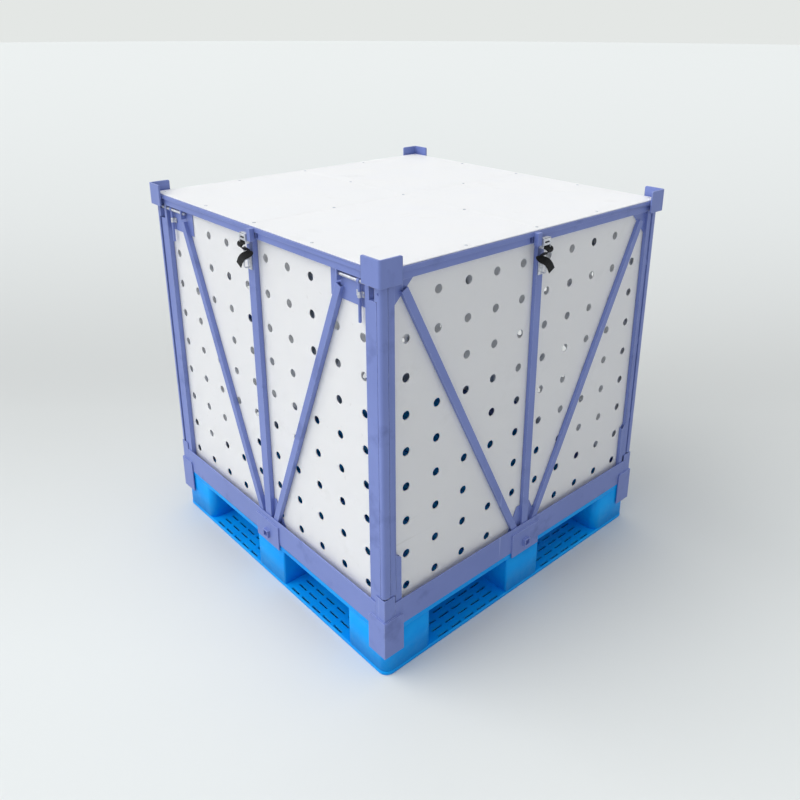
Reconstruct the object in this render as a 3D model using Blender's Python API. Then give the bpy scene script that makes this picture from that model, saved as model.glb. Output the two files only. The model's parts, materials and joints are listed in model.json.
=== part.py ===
"""Steel returnable container: a square steel cage on a plastic pallet, with a lift-off stacking lid.

Metres, +Z up, origin on the ground under the middle of the container. The front and back walls are
latched and fold inwards, the left and right walls carry the corner posts. Each wall is drawn as if it
stood on the -Y side and is then turned about Z to its own side.
"""
import math

import bmesh
import bpy
from mathutils import Matrix, Vector

# Pallet
PALLET_SIDE = 1.100
PALLET_HEIGHT = 0.150
PALLET_CORNER_RADIUS = 0.028
TOP_DECK = 0.018
BOTTOM_DECK = 0.012
CORNER_BLOCK = 0.173
MIDDLE_BLOCK = 0.146
SLOT_LENGTH = 0.040
SLOT_WIDTH = 0.008
SLOT_PITCH = 0.0525
SLOT_ROW_PITCH = 0.026
SLOT_EDGE_DISTANCE = 0.010
SLOT_ROWS = 2
BLOCK_INSET = 0.001
WINDOW_INSET = 0.003
DECK_SLOT_LENGTH = 0.200
DECK_SLOT_WIDTH = 0.014
DECK_SLOT_COLUMNS = 4
DECK_SLOT_ROWS = 5
DECK_SLOT_PITCH = 0.170

# Gaps between pieces that touch, and running clearances
SEAT_GAP = 0.0003
WALL_CLEARANCE = 0.0005
LID_SEAT_GAP = 0.0005
BORE_CLEARANCE = 0.0006
FOLD_CLEARANCE = 0.0012

# Steel base frame
RIM_OVERHANG = 0.002
RIM_HEIGHT = 0.080
RIM_FLANGE = 0.036
RIM_PLATE = 0.003
UPRIGHT_FLANGE = 0.036
UPRIGHT_RISE = 0.023
FOOT_PLATE = 0.004
FOOT_FLANGE = 0.066
FOOT_HEIGHT = 0.114
FOOT_TOP_BELOW_RIM = 0.0435
BRACKET_ROUND = 0.010
CENTRE_PLATE_WIDTH = 0.119
CENTRE_PLATE_HEIGHT = 0.079
CENTRE_PLATE_BELOW_RIM = 0.018
STUB_SIZE = 0.024
STUB_WALL = 0.003
STUB_LENGTH = 0.009

# Walls
WALL_TOP = 1.1215
TOP_RAIL_HEIGHT = 0.019
PANEL_THICKNESS = 0.0025
LATCH_TUBE_DEPTH = 0.0152
LATCH_POST_WIDTH = 0.040
LATCH_CENTRE_POST = 0.032
LATCH_BRACE_BOTTOM = 0.040
LATCH_BRACE_TOP = 0.407
LATCH_BRACE_END_BELOW_TOP = 0.056
SIDE_TUBE_DEPTH = 0.0122
SIDE_POST_WIDTH = 0.019
SIDE_CENTRE_POST = 0.026
SIDE_BRACE_BOTTOM = 0.046
SIDE_BRACE_TOP = 0.490
SIDE_BRACE_END_BELOW_TOP = 0.044
BRACE_WIDTH = 0.021
BRACE_WALL = 0.0025
BRACE_MOUTH_DEPTH = 0.040
RAIL_SLOT_AT = 0.0415
RAIL_SLOT_WIDTH = 0.009
RAIL_SLOT_FLOOR = 0.003
BOTTOM_RAIL_HEIGHT = 0.022
HOLE_DIAMETER = 0.024
HOLE_SIDES = 6
HOLE_COLUMNS = 10
HOLE_ROWS = 9
HOLE_COLUMN_PITCH = 0.103
HOLE_ROW_PITCH = 0.100
FIRST_HOLE_ABOVE_RIM = 0.020
GUSSET_PLATE = 0.002
GUSSET_SET_IN = 0.0005
SIDE_GUSSET_LEG = 0.070
FOOT_GUSSET_WIDTH = 0.170
FOOT_GUSSET_RISE = 0.060

# Corner posts of the side walls, with the strike that the bolts enter
CORNER_POST_WIDTH = 0.0145
CORNER_POST_DEPTH = 0.0205
CORNER_POST_ROUND = 0.008
CORNER_POST_ABOVE_UPRIGHT = 0.004
POST_TO_CORNER_POST = 0.005
GROOVE = 0.0033
STITCH_LENGTH = 0.018
STITCH_COUNT = 3
STRIKE_PLATE = 0.0025
STRIKE_BELOW_TOP = 0.060
STRIKE_HOLE_RADIUS = 0.0065
STRIKE_SCREW_HOLE_RADIUS = 0.004
STRIKE_OVER_WALL = 0.0035
POST_NOTCH = 0.026
POST_NOTCH_BELOW_STRIKE = 0.003

# Foot channels of the side walls and their hinge ears
CHANNEL_WIDTH = 0.018
CHANNEL_ABOVE_RIM = 0.145
CHANNEL_SLANT = 0.016
CHANNEL_WALL = 0.0025
CHANNEL_MOUTH_DEPTH = 0.040
SIDE_POST_END_ABOVE_RIM = 0.022
SIDE_POST_END_TRIM = 0.002

# Fold hinges of the latched walls
HINGE_PIN_RADIUS = 0.004
HINGE_FROM_REAR = 0.0055
FRONT_FOLD_ABOVE_PALLET = 0.0103
BACK_FOLD_ABOVE_FRONT = 0.043
HINGE_LUG_PLATE = 0.005
HINGE_TAIL = 0.0055
HINGE_PIN_DEPTH = 0.022

# Slide bolts
BOLT_RADIUS = 0.0045
BOLT_BELOW_TOP = 0.0285
BOLT_INNER_END = 0.382
BOLT_TRAVEL = 0.012
BOLT_TIP_CLEARANCE = 0.002
HANDLE_AT = 0.466
HANDLE_RADIUS = 0.004
HANDLE_DROP = 0.102
HUB_RADIUS = 0.007
HUB_WIDTH = 0.010
LATCH_PLATE_INNER = 0.347
LATCH_PLATE_DROP = 0.074
BOLT_EAR_AT = 0.388
BOLT_EAR_PLATE = 0.004
BOLT_EAR_DROP = 0.026
CLIP_DROP = 0.033
CLIP_HEIGHT = 0.015
CLIP_INNER_EAR = 0.017
CLIP_OUTER_EAR = 0.012
CLIP_SHEET = 0.001

# Strap staples on the centre posts
STAPLE_WIRE_RADIUS = 0.002
STAPLE_HEIGHT = 0.027
STAPLE_REACH = 0.019
STAPLE_BEND = 0.006
STAPLE_BELOW_TOP = 0.0915
STAPLE_PLATE_WIDTH = 0.018
STAPLE_PLATE_HEIGHT = 0.038
STAPLE_PLATE = 0.003

# Lid
LID_RAIL_HEIGHT = 0.012
LID_RAIL_WIDTH = 0.030
LID_OVERHANG = 0.001
LID_SHEET = 0.003
LID_SHEET_INSET = 0.003
LID_SEAM = 0.001
LID_BRACKET_PLATE = 0.005
LID_BRACKET_FLANGE = 0.0665
LID_BRACKET_HEIGHT = 0.066
LID_BRACKET_ABOVE_WALL = 0.0445
STACKING_CLEARANCE = 0.003
SPACER_LENGTH = 0.050
SPACER_SET_IN = 0.001

# Buckles and straps
LUG_OFFSET = 0.028
LUG_WIDTH = 0.016
LUG_DEPTH = 0.014
LUG_DROP = 0.036
BUCKLE_WIDTH = 0.030
BUCKLE_HEIGHT = 0.028
BUCKLE_DEPTH = 0.013
BUCKLE_SHEET = 0.0015
BUCKLE_PIN_RADIUS = 0.0025
BUCKLE_PIN_OUT = 0.010
BUCKLE_PIN_BELOW_LID_RAIL = 0.016
CAM_RADIUS = 0.0035
CAM_BELOW_PIN = 0.013
LEVER_SHEET = 0.002
STRAP_WIDTH = 0.025
STRAP_THICKNESS = 0.0018
STRAP_ROUTE = (
    # sideways from the buckle's middle, outwards from the buckle pin, below the buckle pin
    (0.000, -0.0005, 0.008),
    (0.000, -0.0005, 0.022),
    (-0.003, 0.0030, 0.032),
    (-0.003, 0.0090, 0.044),
    (0.004, 0.0115, 0.054),
    (0.011, 0.0120, 0.062),
    (0.007, 0.0140, 0.072),
    (-0.003, 0.0142, 0.084),
    (-0.013, 0.0135, 0.098),
)

ROUND_SIDES = 10
ARC_STEPS = 3
GRID = 0.00001

# Places worked out from the dimensions above
RIM_OUTER = PALLET_SIDE / 2 + RIM_OVERHANG
RIM_INNER = RIM_OUTER - RIM_PLATE
RIM_BOTTOM = PALLET_HEIGHT + SEAT_GAP
RIM_TOP = PALLET_HEIGHT + RIM_HEIGHT
FLANGE_TOP = RIM_BOTTOM + RIM_PLATE
WALL_FRONT = RIM_INNER - WALL_CLEARANCE
LATCH_DEPTH = LATCH_TUBE_DEPTH + SEAT_GAP + PANEL_THICKNESS
SIDE_DEPTH = SIDE_TUBE_DEPTH + SEAT_GAP + PANEL_THICKNESS
SIDE_REAR = WALL_FRONT - SIDE_DEPTH
LATCH_HALF = SIDE_REAR - FOLD_CLEARANCE
CORNER_POST_OUTER = RIM_OUTER - WALL_CLEARANCE
CORNER_POST_INNER = CORNER_POST_OUTER - CORNER_POST_WIDTH
SIDE_HALF = CORNER_POST_OUTER - CORNER_POST_DEPTH - GROOVE
PIVOT_OUT = WALL_FRONT - LATCH_DEPTH + HINGE_FROM_REAR
FRONT_PIVOT_Z = PALLET_HEIGHT + FRONT_FOLD_ABOVE_PALLET
BACK_PIVOT_Z = FRONT_PIVOT_Z + BACK_FOLD_ABOVE_FRONT
BOLT_Z = WALL_TOP - BOLT_BELOW_TOP
BOLT_OUT = WALL_FRONT - LATCH_TUBE_DEPTH + GUSSET_SET_IN + GUSSET_PLATE + SEAT_GAP + HUB_RADIUS
STRIKE_INNER = LATCH_HALF - STRIKE_OVER_WALL
BOLT_TIP = STRIKE_INNER - BOLT_TIP_CLEARANCE
LID_BOTTOM = WALL_TOP + LID_SEAT_GAP
LID_RAIL_OUTER = RIM_OUTER + LID_OVERHANG
LID_RAIL_TOP = LID_BOTTOM + LID_RAIL_HEIGHT
FOOT_OUTER = RIM_OUTER + SEAT_GAP + FOOT_PLATE
LID_BRACKET_INNER = FOOT_OUTER + STACKING_CLEARANCE
LID_BRACKET_OUTER = LID_BRACKET_INNER + LID_BRACKET_PLATE
LID_BRACKET_TOP = WALL_TOP + LID_BRACKET_ABOVE_WALL
STAPLE_Z = WALL_TOP - STAPLE_BELOW_TOP
STAPLE_FACE = WALL_FRONT + STAPLE_PLATE
BUCKLE_PIN_Z = LID_BOTTOM + LID_RAIL_HEIGHT / 2 - BUCKLE_PIN_BELOW_LID_RAIL
BUCKLE_PIN_W = LID_RAIL_OUTER + BUCKLE_PIN_OUT


def clear_scene():
    for thing in list(bpy.data.objects):
        bpy.data.objects.remove(thing, do_unlink=True)


def srgb(red, green, blue):
    """An 8-bit screen colour as linear RGBA."""
    def linear(value):
        value /= 255
        return value / 12.92 if value <= 0.04045 else ((value + 0.055) / 1.055) ** 2.4
    return (linear(red), linear(green), linear(blue), 1.0)


def make_material(name, colour, roughness, metallic):
    made = bpy.data.materials.new(name)
    made.use_nodes = True
    shader = made.node_tree.nodes["Principled BSDF"]
    shader.inputs["Base Color"].default_value = colour
    shader.inputs["Roughness"].default_value = roughness
    shader.inputs["Metallic"].default_value = metallic
    made.diffuse_color = colour
    return made


def mesh_from(bm):
    """A mesh whose points lie on a 0.01 mm grid, so that faces meant to be level with each other are."""
    for vert in bm.verts:
        vert.co = [round(value / GRID) * GRID for value in vert.co]
    mesh = bpy.data.meshes.new("piece")
    bm.to_mesh(mesh)
    bm.free()
    return mesh


def box(u, w, z):
    """A box from three (low, high) pairs: along the wall, outwards from the middle, and up."""
    bm = bmesh.new()
    bmesh.ops.create_cube(bm, size=1.0)
    low = Vector((min(u), -max(w), min(z)))
    high = Vector((max(u), -min(w), max(z)))
    bmesh.ops.scale(bm, vec=high - low, verts=bm.verts)
    bmesh.ops.translate(bm, vec=(low + high) / 2, verts=bm.verts)
    return mesh_from(bm)


def cylinder(centre, radius, length, axis, sides=ROUND_SIDES):
    """A round bar with its middle at centre, along "u", "w" or "z"."""
    bm = bmesh.new()
    bmesh.ops.create_cone(bm, cap_ends=True, segments=sides, radius1=radius, radius2=radius, depth=length)
    turns = {"u": axes((0, 0, -1), (0, 1, 0), (1, 0, 0)), "w": STAND_UP, "z": Matrix.Identity(4)}
    bmesh.ops.transform(bm, matrix=Matrix.Translation(at(*centre)) @ turns[axis], verts=bm.verts)
    return mesh_from(bm)


def axes(x_axis, y_axis, z_axis):
    """The exact turn that takes X, Y and Z to the three axes given."""
    return Matrix((x_axis, y_axis, z_axis)).transposed().to_4x4()


def quarter_turn(count):
    """An exact turn about Z by a number of right angles."""
    cosine, sine = ((1, 0), (0, 1), (-1, 0), (0, -1))[count % 4]
    return axes((cosine, sine, 0), (-sine, cosine, 0), (0, 0, 1))


STAND_UP = axes((1, 0, 0), (0, 0, 1), (0, -1, 0))


def at(u, w, z):
    """A point of a wall's own frame, in which the wall stands on the -Y side."""
    return Vector((u, -w, z))


def arc(centre_x, centre_y, radius, start, end, steps=ARC_STEPS):
    """Points on an arc, angles in degrees."""
    points = []
    for step in range(steps + 1):
        angle = math.radians(start + (end - start) * step / steps)
        points.append((centre_x + radius * math.cos(angle), centre_y + radius * math.sin(angle)))
    return points


def ring_of(centre_x, centre_y, radius, sides):
    """A closed regular outline."""
    return arc(centre_x, centre_y, radius, 180 / sides, 360 + 180 / sides, sides)[:-1]


def rectangle(left, right, bottom, top):
    return [(left, bottom), (right, bottom), (right, top), (left, top)]


def flat(outline, holes, thickness):
    """A flat plate in X and Y, centred on Z = 0: a filled 2D curve, with its caps welded."""
    curve = bpy.data.curves.new("outline", "CURVE")
    curve.dimensions = "2D"
    curve.fill_mode = "BOTH"
    curve.extrude = thickness / 2
    for loop in [outline] + list(holes):
        spline = curve.splines.new("POLY")
        spline.points.add(len(loop) - 1)
        for point, (x, y) in zip(spline.points, loop):
            point.co = (x, y, 0, 1)
        spline.use_cyclic_u = True
    return mesh_of_curve(curve)


def mesh_of_curve(curve):
    """A curve's closed mesh, with its loose caps welded on and level faces merged."""
    carrier = bpy.data.objects.new("outline", curve)
    bpy.context.scene.collection.objects.link(carrier)
    graph = bpy.context.evaluated_depsgraph_get()
    mesh = bpy.data.meshes.new_from_object(carrier.evaluated_get(graph))
    bpy.data.objects.remove(carrier)
    bm = bmesh.new()
    bm.from_mesh(mesh)
    bmesh.ops.remove_doubles(bm, verts=bm.verts, dist=1e-6)
    bmesh.ops.dissolve_degenerate(bm, dist=1e-6, edges=bm.edges)
    bmesh.ops.dissolve_limit(bm, angle_limit=math.radians(0.1), verts=bm.verts, edges=bm.edges)
    bmesh.ops.recalc_face_normals(bm, faces=bm.faces)
    return mesh_from(bm)


def upright_plate(outline, holes, w_low, w_high):
    """A plate that stands in a wall, its outline given along the wall and up."""
    mesh = flat(outline, holes, w_high - w_low)
    return turned(mesh, Matrix.Translation(at(0, (w_low + w_high) / 2, 0)) @ STAND_UP)


def profile_bar(outline, u_low, u_high):
    """A bar along the wall, its section given outwards and up."""
    mesh = flat(outline, [], u_high - u_low)
    return turned(mesh, Matrix.Translation(((u_low + u_high) / 2, 0, 0)) @ axes((0, -1, 0), (0, 0, 1), (1, 0, 0)))


def level_plate(outline, holes, z_low, z_high):
    """A level plate, its outline given in X and Y."""
    mesh = flat(outline, holes, z_high - z_low)
    return turned(mesh, Matrix.Translation((0, 0, (z_low + z_high) / 2)))


def turned(mesh, matrix):
    """A placed copy, with every face pointing out."""
    bm = bmesh.new()
    bm.from_mesh(mesh)
    bmesh.ops.transform(bm, matrix=matrix, verts=bm.verts)
    bmesh.ops.recalc_face_normals(bm, faces=bm.faces)
    return mesh_from(bm)


def mirrored(mesh, x_sign=1, y_sign=1):
    return turned(mesh, Matrix.Diagonal((x_sign, y_sign, 1, 1)))


def carve(mesh, others, operation):
    """One mesh with others joined to it or cut from it."""
    helpers = [bpy.data.objects.new("helper", piece) for piece in [mesh] + others]
    for helper in helpers:
        bpy.context.scene.collection.objects.link(helper)
    for other in helpers[1:]:
        change = helpers[0].modifiers.new("carve", "BOOLEAN")
        change.operation = operation
        change.solver = "EXACT"
        change.object = other
    graph = bpy.context.evaluated_depsgraph_get()
    result = bpy.data.meshes.new_from_object(helpers[0].evaluated_get(graph))
    for helper in helpers:
        bpy.data.objects.remove(helper)
    return result


def joined(mesh, *others):
    return carve(mesh, list(others), "UNION")


def cut(mesh, *others):
    return carve(mesh, list(others), "DIFFERENCE")


def grouped(*meshes):
    """Several separate solids in one mesh."""
    bm = bmesh.new()
    for mesh in meshes:
        bm.from_mesh(mesh)
    return mesh_from(bm)


class Builder:
    """Keeps the collection, the materials and the empties that the pieces hang on."""

    def __init__(self):
        self.collection = bpy.data.collections.new("returnable_container")
        bpy.context.scene.collection.children.link(self.collection)
        self.materials = {
            "paint": make_material("violet_blue_paint", srgb(108, 116, 176), 0.45, 0.2),
            "plastic": make_material("blue_pallet_plastic", srgb(0, 128, 205), 0.45, 0.0),
            "sheet": make_material("white_plastic_sheet", srgb(236, 236, 234), 0.5, 0.0),
            "zinc": make_material("zinc_plated_steel", srgb(176, 176, 178), 0.35, 0.9),
            "webbing": make_material("black_webbing", srgb(18, 18, 20), 0.85, 0.0),
        }
        self.sides = {}
        for name, degrees in (("front", 0), ("right", 90), ("back", 180), ("left", 270)):
            side = bpy.data.objects.new("side_" + name, None)
            side.rotation_euler.z = math.radians(degrees)
            self.collection.objects.link(side)
            self.sides[name] = side
        self.carriers = {}

    def carrier(self, name, side, place):
        """An empty on a joint's axis, for the pieces that move on it."""
        empty = bpy.data.objects.new(name, None)
        empty.location = place
        empty.parent = self.sides[side]
        self.collection.objects.link(empty)
        self.carriers[name] = empty
        return empty

    def add(self, name, mesh, material, parent=None):
        mesh = mesh.copy()
        mesh.name = name
        mesh.materials.clear()
        mesh.materials.append(self.materials[material])
        piece = bpy.data.objects.new(name, mesh)
        if parent is not None:
            if parent.name in self.carriers:
                mesh.transform(Matrix.Translation(-parent.location))
            piece.parent = parent
        self.collection.objects.link(piece)
        return piece


def rounded_square(half, radius, steps=ARC_STEPS):
    inner = half - radius
    points = []
    for quarter, (x, y) in enumerate(((inner, inner), (-inner, inner), (-inner, -inner), (inner, -inner))):
        points += arc(x, y, radius, 90 * quarter, 90 * quarter + 90, steps)
    return points


def pallet_mesh():
    """Two decks on nine blocks, with slots in both decks and four windows in the bottom deck."""
    half = PALLET_SIDE / 2
    pocket_low = MIDDLE_BLOCK / 2
    pocket_high = half - CORNER_BLOCK
    outline = rounded_square(half, PALLET_CORNER_RADIUS)
    window = (pocket_low + WINDOW_INSET, pocket_high - WINDOW_INSET)
    windows = [rectangle(*sorted((sx * window[0], sx * window[1])), *sorted((sy * window[0], sy * window[1])))
               for sx in (-1, 1) for sy in (-1, 1)]
    bottom = level_plate(outline, windows, 0, BOTTOM_DECK)
    bottom = cut(bottom, slot_cutters(bottom_slots(half, pocket_low, pocket_high), 0, BOTTOM_DECK))
    top = level_plate(outline, [], PALLET_HEIGHT - TOP_DECK, PALLET_HEIGHT)
    top = cut(top, slot_cutters(deck_slots(), PALLET_HEIGHT - TOP_DECK, PALLET_HEIGHT))
    face = half - BLOCK_INSET
    radius = PALLET_CORNER_RADIUS - BLOCK_INSET
    corner = [(pocket_high, pocket_high), (face, pocket_high)] + arc(face - radius, face - radius, radius, 0, 90)
    corner += [(pocket_high, face)]
    middle = rectangle(pocket_high, face, -pocket_low, pocket_low)
    overlap = BOTTOM_DECK / 4
    levels = (BOTTOM_DECK - overlap, PALLET_HEIGHT - TOP_DECK + overlap)
    blocks = [level_plate(rectangle(-pocket_low, pocket_low, -pocket_low, pocket_low), [], *levels)]
    for count in range(4):
        blocks.append(turned(level_plate(corner, [], *levels), quarter_turn(count)))
        blocks.append(turned(level_plate(middle, [], *levels), quarter_turn(count)))
    return joined(bottom, *blocks, top)


def bottom_slots(half, pocket_low, pocket_high):
    """Rows of slots along each edge of the bottom deck, between the blocks."""
    count = int((pocket_high - pocket_low - SLOT_PITCH + SLOT_LENGTH) // SLOT_PITCH)
    middle = (pocket_low + pocket_high) / 2
    slots = []
    for row in range(SLOT_ROWS):
        across = half - SLOT_EDGE_DISTANCE - row * SLOT_ROW_PITCH
        for index in range(count):
            along = middle + (index - (count - 1) / 2) * SLOT_PITCH
            for sx in (-1, 1):
                for sy in (-1, 1):
                    slots.append(slot_outline(sx * along, sy * across, SLOT_LENGTH, SLOT_WIDTH))
                    slots.append(slot_outline(sy * across, sx * along, SLOT_WIDTH, SLOT_LENGTH))
    return slots


def slot_outline(x, y, length, width):
    return rectangle(x - length / 2, x + length / 2, y - width / 2, y + width / 2)


def slot_cutters(outlines, z_low, z_high):
    """Blocks that cut slots right through a deck."""
    return grouped(*[level_plate(outline, [], z_low - GUSSET_PLATE, z_high + GUSSET_PLATE) for outline in outlines])


def deck_slots():
    slots = []
    for row in range(DECK_SLOT_ROWS):
        y = (row - (DECK_SLOT_ROWS - 1) / 2) * DECK_SLOT_PITCH
        for column in range(DECK_SLOT_COLUMNS):
            x = (column - (DECK_SLOT_COLUMNS - 1) / 2) * (DECK_SLOT_LENGTH + DECK_SLOT_WIDTH * 3)
            slots.append(slot_outline(x, y, DECK_SLOT_LENGTH, DECK_SLOT_WIDTH))
    return slots


def rim_mesh():
    """One side of the angle-iron rim: an upright web, a flange that lies on the pallet, and its middle plate."""
    half = RIM_OUTER - UPRIGHT_FLANGE - SEAT_GAP
    section = [(RIM_OUTER, RIM_BOTTOM), (RIM_OUTER, RIM_TOP), (RIM_INNER, RIM_TOP), (RIM_INNER, FLANGE_TOP),
               (RIM_OUTER - RIM_FLANGE, FLANGE_TOP), (RIM_OUTER - RIM_FLANGE, RIM_BOTTOM)]
    return with_centre_plate(profile_bar(section, -half, half))


def corner_bracket(outer, plate, flange, bottom, top, radius):
    """A folded corner plate at +X and -Y, with rounded upper ends."""
    end = outer - flange
    outline = [(end, bottom), (outer, bottom), (outer, top)] + arc(end + radius, top - radius, radius, 90, 180)
    leg = upright_plate(outline, [], outer - plate, outer)
    other_leg = axes((0, -1, 0), (-1, 0, 0), (0, 0, 1))
    return joined(leg, turned(leg, other_leg))


def base_corner_mesh(pivot_z):
    """Upright, foot bracket, hinge lug and hinge pin of the corner at +X and -Y, welded together."""
    upright = corner_bracket(RIM_OUTER, RIM_PLATE, UPRIGHT_FLANGE, RIM_BOTTOM, RIM_TOP + UPRIGHT_RISE, RIM_PLATE)
    foot_top = RIM_TOP - FOOT_TOP_BELOW_RIM
    foot = corner_bracket(FOOT_OUTER, FOOT_PLATE, FOOT_FLANGE, foot_top - FOOT_HEIGHT, foot_top, BRACKET_ROUND)
    weld = corner_bracket(RIM_OUTER + FOOT_PLATE / 2, RIM_PLATE, UPRIGHT_FLANGE - RIM_PLATE,
                          RIM_BOTTOM + RIM_PLATE, foot_top - RIM_PLATE, RIM_PLATE)
    shelf = box((RIM_OUTER - UPRIGHT_FLANGE, RIM_OUTER - RIM_PLATE / 2),
                (RIM_OUTER - UPRIGHT_FLANGE, RIM_OUTER - RIM_PLATE / 2), (RIM_BOTTOM, FLANGE_TOP))
    lug_inner = LATCH_HALF + FOLD_CLEARANCE
    lug = box((lug_inner, lug_inner + HINGE_LUG_PLATE), (PIVOT_OUT - HUB_RADIUS, RIM_INNER + RIM_PLATE / 2),
              (FLANGE_TOP - RIM_PLATE / 2, pivot_z + HUB_RADIUS * 1.5))
    pin_end = LATCH_HALF - HINGE_PIN_DEPTH + FOLD_CLEARANCE
    pin_root = lug_inner + HINGE_LUG_PLATE / 2
    pin = cylinder(((pin_end + pin_root) / 2, PIVOT_OUT, pivot_z), HINGE_PIN_RADIUS, pin_root - pin_end, "u")
    return joined(upright, weld, foot, shelf, lug, pin)


def with_centre_plate(rim):
    """The rim with its middle plate, which hangs over the pallet and carries an open stub of square tube."""
    top = RIM_TOP - CENTRE_PLATE_BELOW_RIM
    half = CENTRE_PLATE_WIDTH / 2
    plate = box((-half, half), (RIM_OUTER - RIM_PLATE / 2, FOOT_OUTER), (RIM_BOTTOM + SEAT_GAP, top))
    apron = box((-half, half), (RIM_OUTER + SEAT_GAP, FOOT_OUTER), (top - CENTRE_PLATE_HEIGHT, top - FOOT_PLATE))
    stub_z = top - CENTRE_PLATE_HEIGHT / 2 - STUB_SIZE / 4
    side = STUB_SIZE / 2
    stub = box((-side, side), (FOOT_OUTER - FOOT_PLATE / 2, FOOT_OUTER + STUB_LENGTH), (stub_z - side, stub_z + side))
    hollow = side - STUB_WALL
    opening = box((-hollow, hollow), (FOOT_OUTER, FOOT_OUTER + STUB_LENGTH * 2), (stub_z - hollow, stub_z + hollow))
    return cut(joined(rim, plate, apron, stub), opening)


class Brace:
    """One arm of a wall's V: its centre line from the rim up to the top rail, and its open upper end."""

    def __init__(self, bottom_u, top_u, end_below_top):
        self.slope = (top_u - bottom_u) / (WALL_TOP - TOP_RAIL_HEIGHT - RIM_TOP)
        self.bottom_u = bottom_u
        self.length = math.hypot(self.slope, 1)
        self.end = self.centre(WALL_TOP - end_below_top)

    def centre(self, z):
        return Vector((self.bottom_u + self.slope * (z - RIM_TOP), z))

    def edge(self, side, z):
        """How far out the inner (-1) or outer (+1) edge is at a height."""
        return self.centre(z).x + side * BRACE_WIDTH / 2 * self.length

    def height(self, side, u):
        return RIM_TOP + (u - self.bottom_u - side * BRACE_WIDTH / 2 * self.length) / self.slope

    def end_corner(self, side):
        return self.end + Vector((1, -self.slope)) * (side * BRACE_WIDTH / 2 / self.length)

    def mouth(self, rear, sign):
        """The hollow of the tube at its open upper end."""
        along = Vector((self.slope, 1)) / self.length
        across = Vector((along.y, -along.x)) * (BRACE_WIDTH / 2 - BRACE_WALL)
        deep = self.end - along * BRACE_MOUTH_DEPTH
        over = self.end + along * BRACE_WALL
        corners = [deep - across, deep + across, over + across, over - across]
        outline = [(sign * corner.x, corner.y) for corner in corners]
        return upright_plate(outline, [], rear + BRACE_WALL, WALL_FRONT - BRACE_WALL)


def frame_windows(foot, post_inner, centre_half, rail_bottom, sill, brace):
    """One opening to each side of the centre post, with the brace standing up into it."""
    inner_low = brace.height(-1, centre_half)
    window = foot + [(post_inner, rail_bottom), (centre_half, rail_bottom)]
    if inner_low > sill:
        window.append((centre_half, inner_low))
    else:
        window += [(centre_half, sill), (brace.edge(-1, sill), sill)]
    window += [tuple(brace.end_corner(-1)), tuple(brace.end_corner(1)), (brace.edge(1, sill), sill)]
    return [upright_plate([(sign * u, z) for u, z in window], [], WALL_FRONT - LATCH_DEPTH, WALL_FRONT + GUSSET_PLATE)
            for sign in (1, -1)]


def rail_slot(hand):
    """The slot in a wall's top rail beside the lid's buckle lug."""
    middle = hand * RAIL_SLOT_AT
    return box((middle - RAIL_SLOT_WIDTH / 2, middle + RAIL_SLOT_WIDTH / 2),
               (WALL_FRONT - SIDE_TUBE_DEPTH + RAIL_SLOT_FLOOR, WALL_FRONT + RAIL_SLOT_FLOOR),
               (WALL_TOP - TOP_RAIL_HEIGHT + RAIL_SLOT_FLOOR, WALL_TOP + RAIL_SLOT_FLOOR))


def staple_mesh():
    """A plate on a centre post with a bent round-bar loop for the strap."""
    plate = box((-STAPLE_PLATE_WIDTH / 2, STAPLE_PLATE_WIDTH / 2), (WALL_FRONT + SEAT_GAP, STAPLE_FACE),
                (STAPLE_Z - STAPLE_PLATE_HEIGHT / 2, STAPLE_Z + STAPLE_PLATE_HEIGHT / 2))
    half = STAPLE_HEIGHT / 2 - STAPLE_WIRE_RADIUS
    far = STAPLE_FACE + STAPLE_REACH - STAPLE_WIRE_RADIUS
    root = STAPLE_FACE - STAPLE_PLATE / 2
    bend = STAPLE_BEND
    route = [(root, -half)] + arc(far - bend, -half + bend, bend, -90, 0, 2)
    route += arc(far - bend, half - bend, bend, 0, 90, 2) + [(root, half)]
    return joined(plate, wire([at(0, w, STAPLE_Z + up) for w, up in route], STAPLE_WIRE_RADIUS))


def wire(points, radius):
    """A round bar along straight stretches, closed at both ends."""
    curve = bpy.data.curves.new("wire", "CURVE")
    curve.dimensions = "3D"
    curve.bevel_depth = radius
    curve.bevel_resolution = 1
    curve.use_fill_caps = True
    spline = curve.splines.new("POLY")
    spline.points.add(len(points) - 1)
    for point, place in zip(spline.points, points):
        point.co = (*place, 1)
    return mesh_of_curve(curve)


def gusset(outline, rear):
    """A thin plate behind a wall's tubes."""
    return upright_plate(outline, [], rear + GUSSET_SET_IN, rear + GUSSET_SET_IN + GUSSET_PLATE)


def foot_gusset(sill, rear):
    half = FOOT_GUSSET_WIDTH / 2
    low = sill - GUSSET_PLATE
    top = RIM_TOP + FOOT_GUSSET_RISE
    return gusset([(-half, low), (half, low), (half / 3, top), (-half / 3, top)], rear)


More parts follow.
